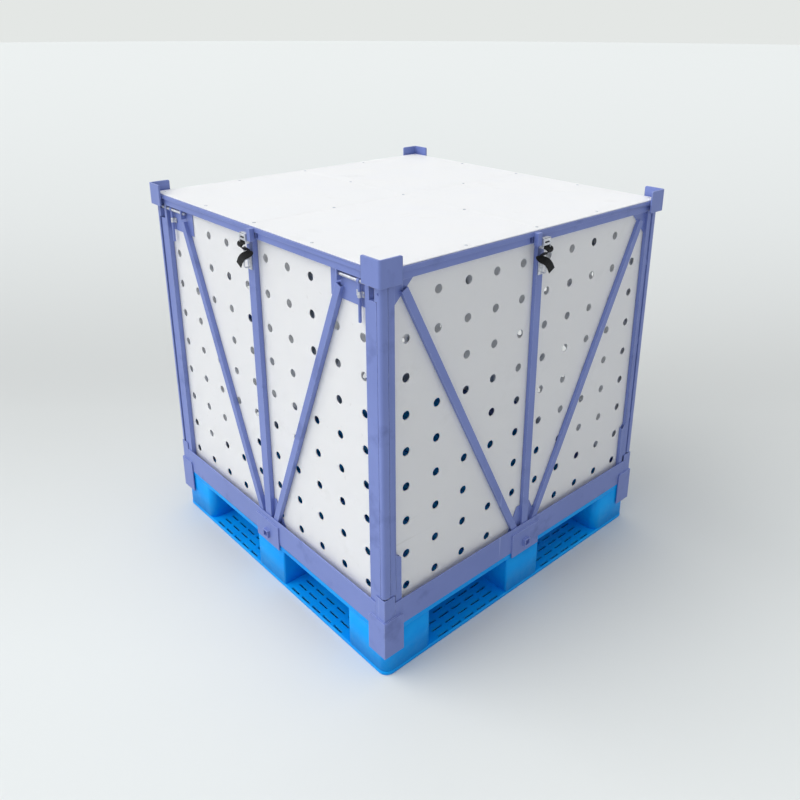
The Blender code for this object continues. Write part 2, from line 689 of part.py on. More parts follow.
def latch_frame_mesh(pivot_z, hand):
    """A latched wall's welded frame: tubes, bottom gusset, latch plates and hinge bores."""
    rear = WALL_FRONT - LATCH_TUBE_DEPTH
    sill_bottom = pivot_z + HUB_RADIUS
    sill = sill_bottom + BOTTOM_RAIL_HEIGHT
    rail_bottom = WALL_TOP - TOP_RAIL_HEIGHT
    post_inner = LATCH_HALF - LATCH_POST_WIDTH
    brace = Brace(LATCH_BRACE_BOTTOM, LATCH_BRACE_TOP, LATCH_BRACE_END_BELOW_TOP)
    windows = frame_windows([(post_inner, sill)], post_inner, LATCH_CENTRE_POST / 2, rail_bottom, sill, brace)
    notch_z = WALL_TOP - STRIKE_BELOW_TOP - POST_NOTCH_BELOW_STRIKE
    half, notched = LATCH_HALF, LATCH_HALF - POST_NOTCH
    outline = [(-half, sill_bottom), (half, sill_bottom), (half, notch_z), (notched, notch_z), (notched, WALL_TOP),
               (-notched, WALL_TOP), (-notched, notch_z), (-half, notch_z)]
    frame = cut(upright_plate(outline, [], rear, WALL_FRONT), *windows)
    pieces = [foot_gusset(sill, rear)]
    bores = [rail_slot(hand)]
    for sign in (1, -1):
        pieces.append(hinge_tail(pivot_z, sign))
        pieces += latch_plate(rear, rail_bottom, post_inner, sign)
        bores.append(brace.mouth(rear, sign))
        bores.append(cylinder((sign * (BOLT_INNER_END + LATCH_HALF) / 2, BOLT_OUT, BOLT_Z),
                              BOLT_RADIUS + BORE_CLEARANCE, LATCH_HALF - BOLT_INNER_END + 2 * BOLT_TRAVEL, "u"))
        bores.append(cylinder((sign * (LATCH_HALF - HINGE_PIN_DEPTH / 2 + HINGE_LUG_PLATE), PIVOT_OUT, pivot_z),
                              HINGE_PIN_RADIUS + BORE_CLEARANCE, HINGE_PIN_DEPTH + HINGE_LUG_PLATE * 2, "u"))
    return cut(joined(frame, *pieces), *bores)


def hinge_tail(pivot_z, sign):
    """The foot of a latched wall's post, trimmed so that it can turn behind the rim."""
    front = WALL_FRONT
    rear = WALL_FRONT - LATCH_TUBE_DEPTH
    low = pivot_z - HINGE_TAIL
    trim = HINGE_TAIL / 2
    section = [(front, pivot_z + HUB_RADIUS * 2), (front, low + trim * 1.5), (front - trim, low), (rear + trim, low),
               (rear, low + trim), (rear, pivot_z + HUB_RADIUS * 2)]
    post_inner = LATCH_HALF - LATCH_POST_WIDTH
    return profile_bar(section, *sorted((sign * post_inner, sign * LATCH_HALF)))


def latch_plate(rear, rail_bottom, post_inner, sign):
    """The plate behind a slide bolt, and the ear that guides the bolt's inner end."""
    lap = GUSSET_PLATE
    left, right = sorted((sign * LATCH_PLATE_INNER, sign * (post_inner + lap)))
    plate = gusset(rectangle(left, right, rail_bottom - LATCH_PLATE_DROP, rail_bottom + lap), rear)
    ear = box((sign * BOLT_EAR_AT, sign * (BOLT_EAR_AT + BOLT_EAR_PLATE)),
              (rear + lap, BOLT_OUT + BOLT_RADIUS * 2), (rail_bottom - BOLT_EAR_DROP, rail_bottom + lap))
    return [plate, ear]


def side_frame_mesh(hand):
    """A side wall's welded frame: tubes, corner and bottom gussets and foot channels."""
    rear = WALL_FRONT - SIDE_TUBE_DEPTH
    rail_bottom = WALL_TOP - TOP_RAIL_HEIGHT
    post_inner = SIDE_HALF - SIDE_POST_WIDTH
    sill = FLANGE_TOP + BOTTOM_RAIL_HEIGHT
    brace = Brace(SIDE_BRACE_BOTTOM, SIDE_BRACE_TOP, SIDE_BRACE_END_BELOW_TOP)
    step = RIM_TOP + SIDE_POST_END_ABOVE_RIM
    channel_inner = post_inner - CHANNEL_WIDTH
    lap = step + SIDE_POST_WIDTH
    foot = [(channel_inner, sill), (channel_inner, lap), (post_inner, lap)]
    windows = frame_windows(foot, post_inner, SIDE_CENTRE_POST / 2, rail_bottom, sill, brace)
    low = FLANGE_TOP + SEAT_GAP
    trim = step - SIDE_POST_END_TRIM
    outline = [(-post_inner, low), (post_inner, low), (post_inner, step), (SIDE_HALF, trim), (SIDE_HALF, WALL_TOP),
               (-SIDE_HALF, WALL_TOP), (-SIDE_HALF, trim), (-post_inner, step)]
    frame = cut(upright_plate(outline, [], rear, WALL_FRONT), *windows)
    pieces = [foot_gusset(sill, rear)]
    cuts = [rail_slot(hand)]
    leg = SIDE_GUSSET_LEG
    lap = GUSSET_PLATE
    for sign in (1, -1):
        corner = [(sign * (post_inner + lap), rail_bottom + lap), (sign * (post_inner - leg), rail_bottom + lap),
                  (sign * (post_inner + lap), rail_bottom - leg)]
        pieces.append(gusset(corner, rear))
        pieces.append(foot_channel(post_inner, sign, rear))
        cuts.append(brace.mouth(rear, sign))
    return cut(joined(frame, *pieces), *cuts)


def foot_channel(post_inner, sign, rear):
    """The slant-topped channel that stiffens a side post above the rim, open at its top."""
    low = FLANGE_TOP + SEAT_GAP
    top = RIM_TOP + CHANNEL_ABOVE_RIM
    inner = post_inner - CHANNEL_WIDTH
    outline = [(sign * inner, low), (sign * (post_inner + CHANNEL_WALL), low),
               (sign * (post_inner + CHANNEL_WALL), top), (sign * inner, top - CHANNEL_SLANT)]
    body = upright_plate(outline, [], rear + GUSSET_SET_IN, WALL_FRONT - GUSSET_SET_IN)
    mouth = box((sign * (inner + CHANNEL_WALL), sign * (post_inner - SEAT_GAP)),
                (rear + CHANNEL_WALL, WALL_FRONT - CHANNEL_WALL), (top - CHANNEL_MOUTH_DEPTH, top + CHANNEL_WALL))
    return cut(body, mouth)


def panel_mesh(half, bottom, rear):
    """A perforated plastic sheet at the back of a frame."""
    first = RIM_TOP + FIRST_HOLE_ABOVE_RIM
    holes = []
    for row in range(HOLE_ROWS):
        z = first + row * HOLE_ROW_PITCH
        for column in range(HOLE_COLUMNS):
            u = (column - (HOLE_COLUMNS - 1) / 2) * HOLE_COLUMN_PITCH
            if abs(u) + HOLE_DIAMETER < half and z + HOLE_DIAMETER < WALL_TOP:
                holes.append(ring_of(u, z, HOLE_DIAMETER / 2, HOLE_SIDES))
    outline = rectangle(-half, half, bottom, WALL_TOP)
    return upright_plate(outline, holes, rear, rear + PANEL_THICKNESS)


def corner_post_mesh():
    """The rounded post at the +X, -Y corner, its stitch welds and the strike for the bolt."""
    low = RIM_TOP + UPRIGHT_RISE + CORNER_POST_ABOVE_UPRIGHT
    inner_x, outer = CORNER_POST_INNER, CORNER_POST_OUTER
    inner_y = -(outer - CORNER_POST_DEPTH)
    radius = CORNER_POST_ROUND
    outline = [(inner_x, inner_y), (inner_x, -outer)] + arc(outer - radius, -outer + radius, radius, -90, 0)
    outline += [(outer, inner_y)]
    post = level_plate(outline, [], low, WALL_TOP)
    strike_low = WALL_TOP - STRIKE_BELOW_TOP
    lap = STRIKE_PLATE / 2
    front_leg = box((STRIKE_INNER, inner_x + lap), (outer - STRIKE_PLATE, outer), (strike_low, WALL_TOP))
    side_leg = box((STRIKE_INNER, STRIKE_INNER + STRIKE_PLATE), (WALL_FRONT - LATCH_TUBE_DEPTH + SEAT_GAP,
                   outer - lap), (strike_low, WALL_TOP))
    stitches = [box((inner_x + lap, outer - radius / 2), (outer - CORNER_POST_DEPTH - GROOVE + SEAT_GAP,
                                                          outer - CORNER_POST_DEPTH + lap), (z, z + STITCH_LENGTH))
                for z in stitch_heights(low)]
    whole = joined(post, front_leg, side_leg, *stitches)
    reach = BOLT_TIP + BOLT_TRAVEL + BOLT_TIP_CLEARANCE
    bolt_way = cylinder(((STRIKE_INNER + reach) / 2 - lap, BOLT_OUT, BOLT_Z), STRIKE_HOLE_RADIUS,
                        reach - STRIKE_INNER + STRIKE_PLATE, "u")
    screw_z = strike_low + STRIKE_BELOW_TOP / 3
    screw = cylinder((inner_x + CORNER_POST_WIDTH / 3, outer, screw_z), STRIKE_SCREW_HOLE_RADIUS,
                     STRIKE_PLATE * 2, "w", 8)
    return cut(whole, bolt_way, screw)


def stitch_heights(low):
    """Where the stitch welds sit along a corner post."""
    span = WALL_TOP - STRIKE_BELOW_TOP - low
    return [low + span * (index + 0.5) / STITCH_COUNT for index in range(STITCH_COUNT)]


def bolt_mesh(sign):
    length = BOLT_TIP - BOLT_INNER_END
    return cylinder((sign * (BOLT_TIP + BOLT_INNER_END) / 2, BOLT_OUT, BOLT_Z), BOLT_RADIUS, length, "u")


def handle_mesh(sign):
    """A hub that turns on the bolt, with the round bar that hangs from it."""
    hub = cylinder((sign * HANDLE_AT, BOLT_OUT, BOLT_Z), HUB_RADIUS, HUB_WIDTH, "u")
    bar_top = BOLT_Z - BOLT_RADIUS - BORE_CLEARANCE
    bar = cylinder((sign * HANDLE_AT, BOLT_OUT, (bar_top + BOLT_Z - HANDLE_DROP) / 2), HANDLE_RADIUS,
                   bar_top - BOLT_Z + HANDLE_DROP, "z")
    bore = cylinder((sign * HANDLE_AT, BOLT_OUT, BOLT_Z), BOLT_RADIUS + BORE_CLEARANCE, HUB_WIDTH * 2, "u")
    return cut(joined(hub, bar), bore)


def clip_mesh(sign):
    """The sheet-metal saddle round a handle, with an ear to each side."""
    radius = HANDLE_RADIUS + SEAT_GAP
    outer = radius + CLIP_SHEET
    outline = [(-CLIP_INNER_EAR, -outer), (CLIP_OUTER_EAR, -outer), (CLIP_OUTER_EAR, -radius), (outer, -radius)]
    outline += arc(0, 0, outer, 0, 180, 6)
    outline += [(-outer, -radius), (-CLIP_INNER_EAR, -radius)]
    hole = ring_of(0, 0, (HANDLE_RADIUS + SEAT_GAP) / math.cos(math.pi / 12), 12)
    mesh = flat(outline, [hole], CLIP_HEIGHT)
    place = Matrix.Translation(at(sign * HANDLE_AT, BOLT_OUT, BOLT_Z - CLIP_DROP)) @ Matrix.Diagonal((sign, -1, 1, 1))
    return turned(mesh, place)


def lid_frame_mesh():
    """Flat rails round the edge, two cross rails, corner spacers and the left and right buckle lugs."""
    outer = LID_RAIL_OUTER
    inner = outer - LID_RAIL_WIDTH
    cross = LID_RAIL_WIDTH / 2
    windows = [rectangle(*sorted((sx * cross, sx * inner)), *sorted((sy * cross, sy * inner)))
               for sx in (-1, 1) for sy in (-1, 1)]
    frame = level_plate(rectangle(-outer, outer, -outer, outer), windows, LID_BOTTOM, LID_RAIL_TOP)
    lap = LID_SHEET / 2
    spacer_end = LID_BRACKET_INNER - SEAT_GAP
    lug_low, lug_far, lug_root = LID_RAIL_TOP - LUG_DROP, outer + LUG_DEPTH, LID_BOTTOM + lap
    lug_section = [(outer, lug_low), (lug_far, lug_low), (lug_far, LID_RAIL_TOP - lap),
                   (outer - lap, LID_RAIL_TOP - lap), (outer - lap, lug_root), (outer, lug_root)]
    pieces = []
    bores = []
    for count, side in enumerate(HANDS):
        spin = quarter_turn(count)
        for sign in (1, -1):
            ends = sorted((sign * (outer - SPACER_LENGTH), sign * spacer_end))
            spacer = box(ends, (outer - lap, spacer_end), (LID_BOTTOM + SPACER_SET_IN, LID_RAIL_TOP - SPACER_SET_IN))
            pieces.append(turned(spacer, spin))
        if side not in LATCH_SIDES:
            pieces.append(turned(profile_bar(lug_section, *lug_ends(HANDS[side])), spin))
            bores.append(turned(lug_bore(HANDS[side]), spin))
    return cut(joined(frame, *pieces), *bores)


def lug_ends(hand):
    return sorted((hand * (LUG_OFFSET - LUG_WIDTH / 2), hand * (LUG_OFFSET + LUG_WIDTH / 2)))


def lug_bore(hand):
    """Cuts the blind hole for the buckle's pin."""
    return cylinder((hand * (LUG_OFFSET - LUG_WIDTH / 2), BUCKLE_PIN_W, BUCKLE_PIN_Z),
                    BUCKLE_PIN_RADIUS + BORE_CLEARANCE, LUG_WIDTH, "u")


def buckle_lug_mesh(hand):
    """A block on the lid's rail that holds one end of a buckle's pin."""
    lug = box(lug_ends(hand), (LID_RAIL_OUTER + SEAT_GAP, LID_RAIL_OUTER + LUG_DEPTH),
              (LID_RAIL_TOP - LUG_DROP, LID_RAIL_TOP - LID_SHEET / 2))
    return cut(lug, lug_bore(hand))


def lid_sheet_mesh():
    """One of the four white sheets, for the +X, +Y quarter."""
    low = LID_RAIL_TOP + SEAT_GAP
    far = LID_RAIL_OUTER - LID_SHEET_INSET
    return level_plate(rectangle(LID_SEAM / 2, far, LID_SEAM / 2, far), [], low, low + LID_SHEET)


def buckle_mesh(hand):
    """The buckle's folded frame and its pin, which enters the lid's lug."""
    half = BUCKLE_WIDTH / 2
    inner = half - BUCKLE_SHEET
    top = BUCKLE_PIN_Z + BUCKLE_PIN_RADIUS * 2
    low = top - BUCKLE_HEIGHT
    back = BUCKLE_PIN_W - BUCKLE_PIN_RADIUS - BUCKLE_SHEET * 1.5
    front = back + BUCKLE_DEPTH
    section = [(-half, back), (half, back), (half, front), (inner, front), (inner, back + BUCKLE_SHEET),
               (-inner, back + BUCKLE_SHEET), (-inner, front), (-half, front)]
    shell = level_plate([(u + BUCKLE_SHIFT * hand, -w) for u, w in section], [], low, top)
    pin_end = hand * (LUG_OFFSET - BUCKLE_SHEET)
    pin_start = hand * BUCKLE_SHIFT - hand * (half + BUCKLE_SHEET)
    pin = cylinder(((pin_end + pin_start) / 2, BUCKLE_PIN_W, BUCKLE_PIN_Z), BUCKLE_PIN_RADIUS,
                   abs(pin_end - pin_start), "u")
    cam_bore = cylinder((hand * BUCKLE_SHIFT, CAM_OUT, CAM_Z), CAM_RADIUS / 2 + BORE_CLEARANCE, BUCKLE_WIDTH * 2, "u")
    return joined(cut(shell, cam_bore), pin)


def lever_mesh(hand):
    """The cam that grips the strap, with its finger plate in front of the buckle."""
    length = BUCKLE_WIDTH - BUCKLE_SHEET * 2 - FOLD_CLEARANCE
    middle = hand * BUCKLE_SHIFT
    cam = cylinder((middle, CAM_OUT, CAM_Z), CAM_RADIUS, length, "u")
    axle = cylinder((middle, CAM_OUT, CAM_Z), CAM_RADIUS / 2, BUCKLE_WIDTH - SEAT_GAP, "u")
    plate = box((middle - length / 2, middle + length / 2),
                (CAM_OUT + CAM_RADIUS - LEVER_SHEET, CAM_OUT + CAM_RADIUS),
                (CAM_Z, BUCKLE_PIN_Z + BUCKLE_PIN_RADIUS))
    return joined(cam, axle, plate)


def strap_mesh(hand):
    """Slack webbing from the buckle: a flat band lofted along its route."""
    middle = hand * BUCKLE_SHIFT
    centres = [at(middle + hand * side, BUCKLE_PIN_W + out, BUCKLE_PIN_Z - down) for side, out, down in STRAP_ROUTE]
    bm = bmesh.new()
    rings = []
    for index, centre in enumerate(centres):
        before = centres[max(index - 1, 0)]
        after = centres[min(index + 1, len(centres) - 1)]
        along = (after - before).normalized()
        across = (Vector((1, 0, 0)) - along * along.x).normalized() * (STRAP_WIDTH / 2)
        normal = along.cross(across).normalized() * (STRAP_THICKNESS / 2)
        corners = (centre - across - normal, centre + across - normal, centre + across + normal,
                   centre - across + normal)
        rings.append([bm.verts.new(corner) for corner in corners])
    for first, second in zip(rings, rings[1:]):
        for side in range(4):
            bm.faces.new((first[side], first[(side + 1) % 4], second[(side + 1) % 4], second[side]))
    bm.faces.new(rings[0])
    bm.faces.new(rings[-1])
    bmesh.ops.recalc_face_normals(bm, faces=bm.faces)
    return mesh_from(bm)


HANDS = {"front": 1, "right": -1, "back": 1, "left": -1}
LATCH_SIDES = ("front", "back")
BUCKLE_SHIFT = LUG_OFFSET - LUG_WIDTH / 2 - BUCKLE_WIDTH / 2 - FOLD_CLEARANCE
CAM_Z = BUCKLE_PIN_Z - CAM_BELOW_PIN
CAM_OUT = BUCKLE_PIN_W + BUCKLE_PIN_RADIUS / 2 + CAM_RADIUS


def build_base(builder):
    builder.add("pallet", pallet_mesh(), "plastic")
    for side in builder.sides:
        builder.add("rim_" + side, rim_mesh(), "paint", builder.sides[side])
    for y_name, y_sign, pivot_z in (("front", 1, FRONT_PIVOT_Z), ("back", -1, BACK_PIVOT_Z)):
        corner = base_corner_mesh(pivot_z)
        for x_name, x_sign in (("left", -1), ("right", 1)):
            builder.add(f"base_corner_{y_name}_{x_name}", mirrored(corner, x_sign, y_sign), "paint")


def build_side_walls(builder):
    frame = side_frame_mesh(HANDS["right"])
    panel = panel_mesh(SIDE_HALF, FLANGE_TOP + SEAT_GAP, SIDE_REAR)
    post = corner_post_mesh()
    for side, x_sign in (("left", -1), ("right", 1)):
        builder.add(f"{side}_wall_frame", frame, "paint", builder.sides[side])
        builder.add(f"{side}_wall_panel", panel, "sheet", builder.sides[side])
        builder.add(f"strap_staple_{side}", staple_mesh(), "zinc", builder.sides[side])
        for end, y_sign in (("front", 1), ("back", -1)):
            builder.add(f"{side}_wall_corner_post_{end}", mirrored(post, x_sign, y_sign), "paint")


def build_latch_walls(builder):
    for side, pivot_z in (("front", FRONT_PIVOT_Z), ("back", BACK_PIVOT_Z)):
        fold = builder.carrier(f"{side}_wall_axis", side, at(0, PIVOT_OUT, pivot_z))
        builder.add(f"{side}_wall_frame", latch_frame_mesh(pivot_z, HANDS[side]), "paint", fold)
        builder.add(f"strap_staple_{side}", staple_mesh(), "zinc", fold)
        panel = panel_mesh(LATCH_HALF, pivot_z + HUB_RADIUS, WALL_FRONT - LATCH_DEPTH)
        builder.add(f"{side}_wall_panel", panel, "sheet", fold)
        for hand_name, sign in (("left", -1), ("right", 1)):
            bolt_axis = builder.carrier(f"{side}_bolt_{hand_name}_axis", side, at(sign * HANDLE_AT, BOLT_OUT, BOLT_Z))
            builder.add(f"{side}_bolt_{hand_name}", bolt_mesh(sign), "zinc", bolt_axis)
            builder.add(f"{side}_handle_{hand_name}", handle_mesh(sign), "paint", bolt_axis)
            builder.add(f"{side}_clip_{hand_name}", clip_mesh(sign), "zinc", bolt_axis)


def build_lid(builder):
    builder.add("lid_frame", lid_frame_mesh(), "paint")
    for side in LATCH_SIDES:
        builder.add("lid_buckle_lug_" + side, buckle_lug_mesh(HANDS[side]), "paint", builder.sides[side])
    sheet = lid_sheet_mesh()
    bracket = corner_bracket(LID_BRACKET_OUTER, LID_BRACKET_PLATE, LID_BRACKET_FLANGE,
                             LID_BRACKET_TOP - LID_BRACKET_HEIGHT, LID_BRACKET_TOP, BRACKET_ROUND)
    for y_name, y_sign in (("front", 1), ("back", -1)):
        for x_name, x_sign in (("left", -1), ("right", 1)):
            builder.add(f"lid_sheet_{y_name}_{x_name}", mirrored(sheet, x_sign, -y_sign), "sheet")
            builder.add(f"lid_bracket_{y_name}_{x_name}", mirrored(bracket, x_sign, y_sign), "paint")
    for side, hand in HANDS.items():
        swing = builder.carrier(f"buckle_{side}_axis", side, at(0, BUCKLE_PIN_W, BUCKLE_PIN_Z))
        builder.add("buckle_" + side, buckle_mesh(hand), "zinc", swing)
        builder.add("strap_" + side, strap_mesh(hand), "webbing", swing)
        cam = builder.carrier(f"lever_{side}_axis", side, at(0, CAM_OUT, CAM_Z))
        builder.add("buckle_lever_" + side, lever_mesh(hand), "zinc", cam)


def main():
    clear_scene()
    builder = Builder()
    build_base(builder)
    build_side_walls(builder)
    build_latch_walls(builder)
    build_lid(builder)


main()
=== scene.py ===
# %% [markdown]
# # A steel returnable container
# The container is a painted steel cage that stands on a blue plastic pallet. Perforated white sheets
# close its walls, and a loose lid with four corner brackets closes its top. The steel pieces come from
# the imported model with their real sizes, and this lesson gives every one of them its surface.
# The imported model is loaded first, because every later step takes its places from it.

import json
import math

import bmesh
import bpy
from mathutils import Matrix, Vector

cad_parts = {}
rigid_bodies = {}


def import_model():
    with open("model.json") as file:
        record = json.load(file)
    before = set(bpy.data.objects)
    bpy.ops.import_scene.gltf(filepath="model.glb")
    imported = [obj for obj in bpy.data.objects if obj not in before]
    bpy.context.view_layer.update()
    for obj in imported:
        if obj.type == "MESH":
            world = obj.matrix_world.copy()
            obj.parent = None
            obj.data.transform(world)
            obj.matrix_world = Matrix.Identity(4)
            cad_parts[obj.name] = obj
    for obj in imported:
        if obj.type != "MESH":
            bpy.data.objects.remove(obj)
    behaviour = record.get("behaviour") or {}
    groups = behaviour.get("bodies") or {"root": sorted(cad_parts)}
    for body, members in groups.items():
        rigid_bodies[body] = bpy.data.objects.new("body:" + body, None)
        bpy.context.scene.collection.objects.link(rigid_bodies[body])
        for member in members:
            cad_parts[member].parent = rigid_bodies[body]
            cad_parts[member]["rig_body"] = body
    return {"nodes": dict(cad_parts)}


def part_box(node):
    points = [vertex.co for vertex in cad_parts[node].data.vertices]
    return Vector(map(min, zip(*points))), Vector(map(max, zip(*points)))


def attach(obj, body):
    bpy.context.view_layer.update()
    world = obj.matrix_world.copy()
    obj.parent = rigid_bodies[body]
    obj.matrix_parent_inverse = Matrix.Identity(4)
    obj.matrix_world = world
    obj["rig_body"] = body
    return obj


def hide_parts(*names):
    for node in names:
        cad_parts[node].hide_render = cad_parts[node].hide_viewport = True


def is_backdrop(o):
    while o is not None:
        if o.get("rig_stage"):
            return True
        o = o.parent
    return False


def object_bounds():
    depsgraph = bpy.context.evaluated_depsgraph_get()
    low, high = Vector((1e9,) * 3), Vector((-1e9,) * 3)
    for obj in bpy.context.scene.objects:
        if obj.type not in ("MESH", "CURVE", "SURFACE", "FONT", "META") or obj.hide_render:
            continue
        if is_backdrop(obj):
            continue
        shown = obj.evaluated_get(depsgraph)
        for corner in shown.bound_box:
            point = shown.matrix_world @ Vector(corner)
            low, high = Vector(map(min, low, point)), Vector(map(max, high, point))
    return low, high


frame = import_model()
CAD_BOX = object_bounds()

# %% [markdown]
# ## The camera
# A photograph is matched by standing where the photographer stood. The place, the heading and the tilt
# were found from corners of the container whose real places are known. The lens follows from the focal
# length in pixels, and the shift is what is left between the picture's middle and the optical axis.

# %% Place the camera
IMAGE_SIDE = 800
SENSOR_WIDTH = 36.0
FOCAL_PIXELS = 782.0
OPTICAL_AXIS = (415.2, 301.0)
CAMERA_PLACE = Vector((1.7927, -1.5786, 1.6523))
CAMERA_HEADING = math.radians(47.71)
CAMERA_DOWN = math.radians(19.91)
CAMERA_ROLL = math.radians(0.2)

camera = bpy.data.objects.new("camera", bpy.data.cameras.new("camera"))
bpy.context.scene.collection.objects.link(camera)
camera.data.sensor_width = SENSOR_WIDTH
camera.data.lens = FOCAL_PIXELS * SENSOR_WIDTH / IMAGE_SIDE
camera.data.shift_x = 0.5 - OPTICAL_AXIS[0] / IMAGE_SIDE
camera.data.shift_y = OPTICAL_AXIS[1] / IMAGE_SIDE - 0.5
camera.matrix_world = (
    Matrix.Translation(CAMERA_PLACE)
    @ Matrix.Rotation(CAMERA_HEADING, 4, "Z")
    @ Matrix.Rotation(math.pi / 2 - CAMERA_DOWN, 4, "X")
    @ Matrix.Rotation(CAMERA_ROLL, 4, "Z")
)
bpy.context.scene.camera = camera
bpy.context.scene.view_settings.view_transform = "Standard"
print("lens %.1f mm" % camera.data.lens)

# %% [markdown]
# ## Building node trees
# Materials and Geometry Nodes are both trees of nodes. One small helper adds a node, sets its options
# and joins or sets its inputs, so that each tree below reads as a list of steps.

# %% A helper for nodes
def add_node(tree, kind, inputs=None, **options):
    node = tree.nodes.new(kind)
    for name, value in options.items():
        setattr(node, name, value)
    for socket, value in (inputs or {}).items():
        if isinstance(value, bpy.types.NodeSocket):
            tree.links.new(value, node.inputs[socket])
        else:
            node.inputs[socket].default_value = value
    return node


def srgb(red, green, blue):
    """An 8-bit screen colour as linear RGBA."""
    def linear(value):
        value /= 255
        return value / 12.92 if value <= 0.04045 else ((value + 0.055) / 1.055) ** 2.4
    return (linear(red), linear(green), linear(blue), 1.0)


# %% [markdown]
# ## The studio
# The container stands on a wide pale floor. The floor's colour makes the background: it is palest in
# front and pale again far away, with a band of painted shade, a little greyer, behind and beside the
# container. The band follows how far back a place lies, so it is a plain pattern on Object coordinates.
# Light that bounces off the floor meets a darker grey, so that a floor of this size doesn't wash the
# container's lower half out.

# %% Floor
FLOOR_RADIUS = 60.0
FLOOR_SIDES = 96
FLOOR_PALE = srgb(228, 231, 229)
# The second grey is painted shade, laid as a band on the floor behind and beside the container.
FLOOR_PAINTED_SHADE = srgb(200, 202, 200)
FLOOR_BOUNCE = srgb(200, 202, 203)
FLOOR_ROUGHNESS = 0.9
CAMERA_DISTANCE = CAMERA_PLACE.xy.length
TONE_NEAREST = 0.5
# The stops say how much painted shade the floor gets at each steepness of view.
PAINTED_SHADE_STOPS = ((0.00, 0.0), (0.13, 0.12), (0.26, 0.36), (0.36, 0.68), (0.458, 1.0), (0.53, 0.84),
              (0.68, 0.42), (0.85, 0.14), (1.0, 0.0))

def pale_floor():
    bm = bmesh.new()
    bmesh.ops.create_circle(bm, cap_ends=True, segments=FLOOR_SIDES, radius=FLOOR_RADIUS)
    mesh = bpy.data.meshes.new("pale_floor")
    bm.to_mesh(mesh)
    bm.free()
    made = bpy.data.objects.new("pale_floor", mesh)
    bpy.context.scene.collection.objects.link(made)
    return made


def seen_directly(tree):
    """One for what the camera sees, straight or in a mirror, and zero for light that bounces."""
    path = add_node(tree, "ShaderNodeLightPath").outputs
    seen = path["Is Camera Ray"]
    for kind in ("Is Glossy Ray", "Is Transmission Ray"):
        largest = add_node(tree, "ShaderNodeMath", {0: seen, 1: path[kind]}, operation="MAXIMUM")
        seen = largest.outputs["Value"]
    return seen


def floor_paint():
    """Pale grey with a band of painted shade, whose depth follows the height of the eye over the distance
    that a place lies back.
    """
    material = bpy.data.materials.new("pale_floor_paint")
    material.use_nodes = True
    tree = material.node_tree
    shader = tree.nodes["Principled BSDF"]
    place = add_node(tree, "ShaderNodeTexCoord").outputs["Object"]
    back = (-math.sin(CAMERA_HEADING), math.cos(CAMERA_HEADING), 0.0)
    depth = add_node(tree, "ShaderNodeVectorMath", {0: place, 1: back}, operation="DOT_PRODUCT")
    away = add_node(tree, "ShaderNodeMath", {0: depth.outputs["Value"], 1: CAMERA_DISTANCE}, operation="ADD")
    away = add_node(tree, "ShaderNodeMath", {0: away.outputs["Value"], 1: TONE_NEAREST}, operation="MAXIMUM")
    steepness = add_node(tree, "ShaderNodeMath", {0: CAMERA_PLACE.z, 1: away.outputs["Value"]},
                         operation="DIVIDE")
    # The ramp paints the band of shade into the floor's colour.
    painted_shade_ramp = add_node(tree, "ShaderNodeValToRGB", {"Fac": steepness.outputs["Value"]})
    painted_shade_ramp.color_ramp.interpolation = "B_SPLINE"
    while len(painted_shade_ramp.color_ramp.elements) < len(PAINTED_SHADE_STOPS):
        painted_shade_ramp.color_ramp.elements.new(0.5)
    for element, (stop, amount) in zip(painted_shade_ramp.color_ramp.elements, PAINTED_SHADE_STOPS):
        element.position = stop
        element.color = [pale + (grey - pale) * amount for pale, grey in zip(FLOOR_PALE, FLOOR_PAINTED_SHADE)]
    bounce = add_node(tree, "ShaderNodeMix", {
        0: seen_directly(tree), 6: FLOOR_BOUNCE, 7: painted_shade_ramp.outputs["Color"]}, data_type="RGBA")
    tree.links.new(bounce.outputs[2], shader.inputs["Base Color"])
    shader.inputs["Roughness"].default_value = FLOOR_ROUGHNESS
    return material


floor = pale_floor()
floor.data.materials.append(floor_paint())
floor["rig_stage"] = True
print("floor radius:", FLOOR_RADIUS)

# %% [markdown]
# ## Lamps and world
# The main light is a broad one from the upper left, like a large soft box: a sun with a wide angle
# gives the same even light everywhere. A pale world, dimmer towards the right, fills the rest.
# The camera and mirrors see the world as the same pale tone as the floor.

# %% Lamps
KEY_DIRECTION = Vector((0.24, 0.34, -0.36))
KEY_STRENGTH = 1.5
KEY_SOFTNESS = math.radians(60)
WORLD_COLOUR = srgb(250, 252, 255)
WORLD_BRIGHT_SIDE = Vector((-0.80, -0.30, 0.50)).normalized()
WORLD_DIM, WORLD_BRIGHT = 0.42, 1.0

key = bpy.data.objects.new("key_light", bpy.data.lights.new("key_light", "SUN"))
key.data.energy = KEY_STRENGTH
key.data.angle = KEY_SOFTNESS
key.rotation_euler = KEY_DIRECTION.to_track_quat("-Z", "Y").to_euler()
bpy.context.scene.collection.objects.link(key)

world = bpy.data.worlds.new("pale_room")
bpy.context.scene.world = world
world.use_nodes = True
room = world.node_tree.nodes["Background"]
room.inputs["Color"].default_value = WORLD_COLOUR
towards = add_node(world.node_tree, "ShaderNodeVectorMath", {
    0: add_node(world.node_tree, "ShaderNodeTexCoord").outputs["Generated"], 1: WORLD_BRIGHT_SIDE},
    operation="DOT_PRODUCT")
side_light = add_node(world.node_tree, "ShaderNodeMapRange", {
    "Value": towards.outputs["Value"], "From Min": -1.0, "From Max": 1.0,
    "To Min": WORLD_DIM, "To Max": WORLD_BRIGHT})
world.node_tree.links.new(side_light.outputs["Result"], room.inputs["Strength"])
seen = add_node(world.node_tree, "ShaderNodeBackground", {"Color": FLOOR_PALE, "Strength": 1.0})
mix = add_node(world.node_tree, "ShaderNodeMixShader", {
    0: seen_directly(world.node_tree), 1: room.outputs[0], 2: seen.outputs[0]})
world.node_tree.links.new(mix.outputs[0], world.node_tree.nodes["World Output"].inputs["Surface"])
print("key:", KEY_STRENGTH, "world:", WORLD_DIM, "to", WORLD_BRIGHT)
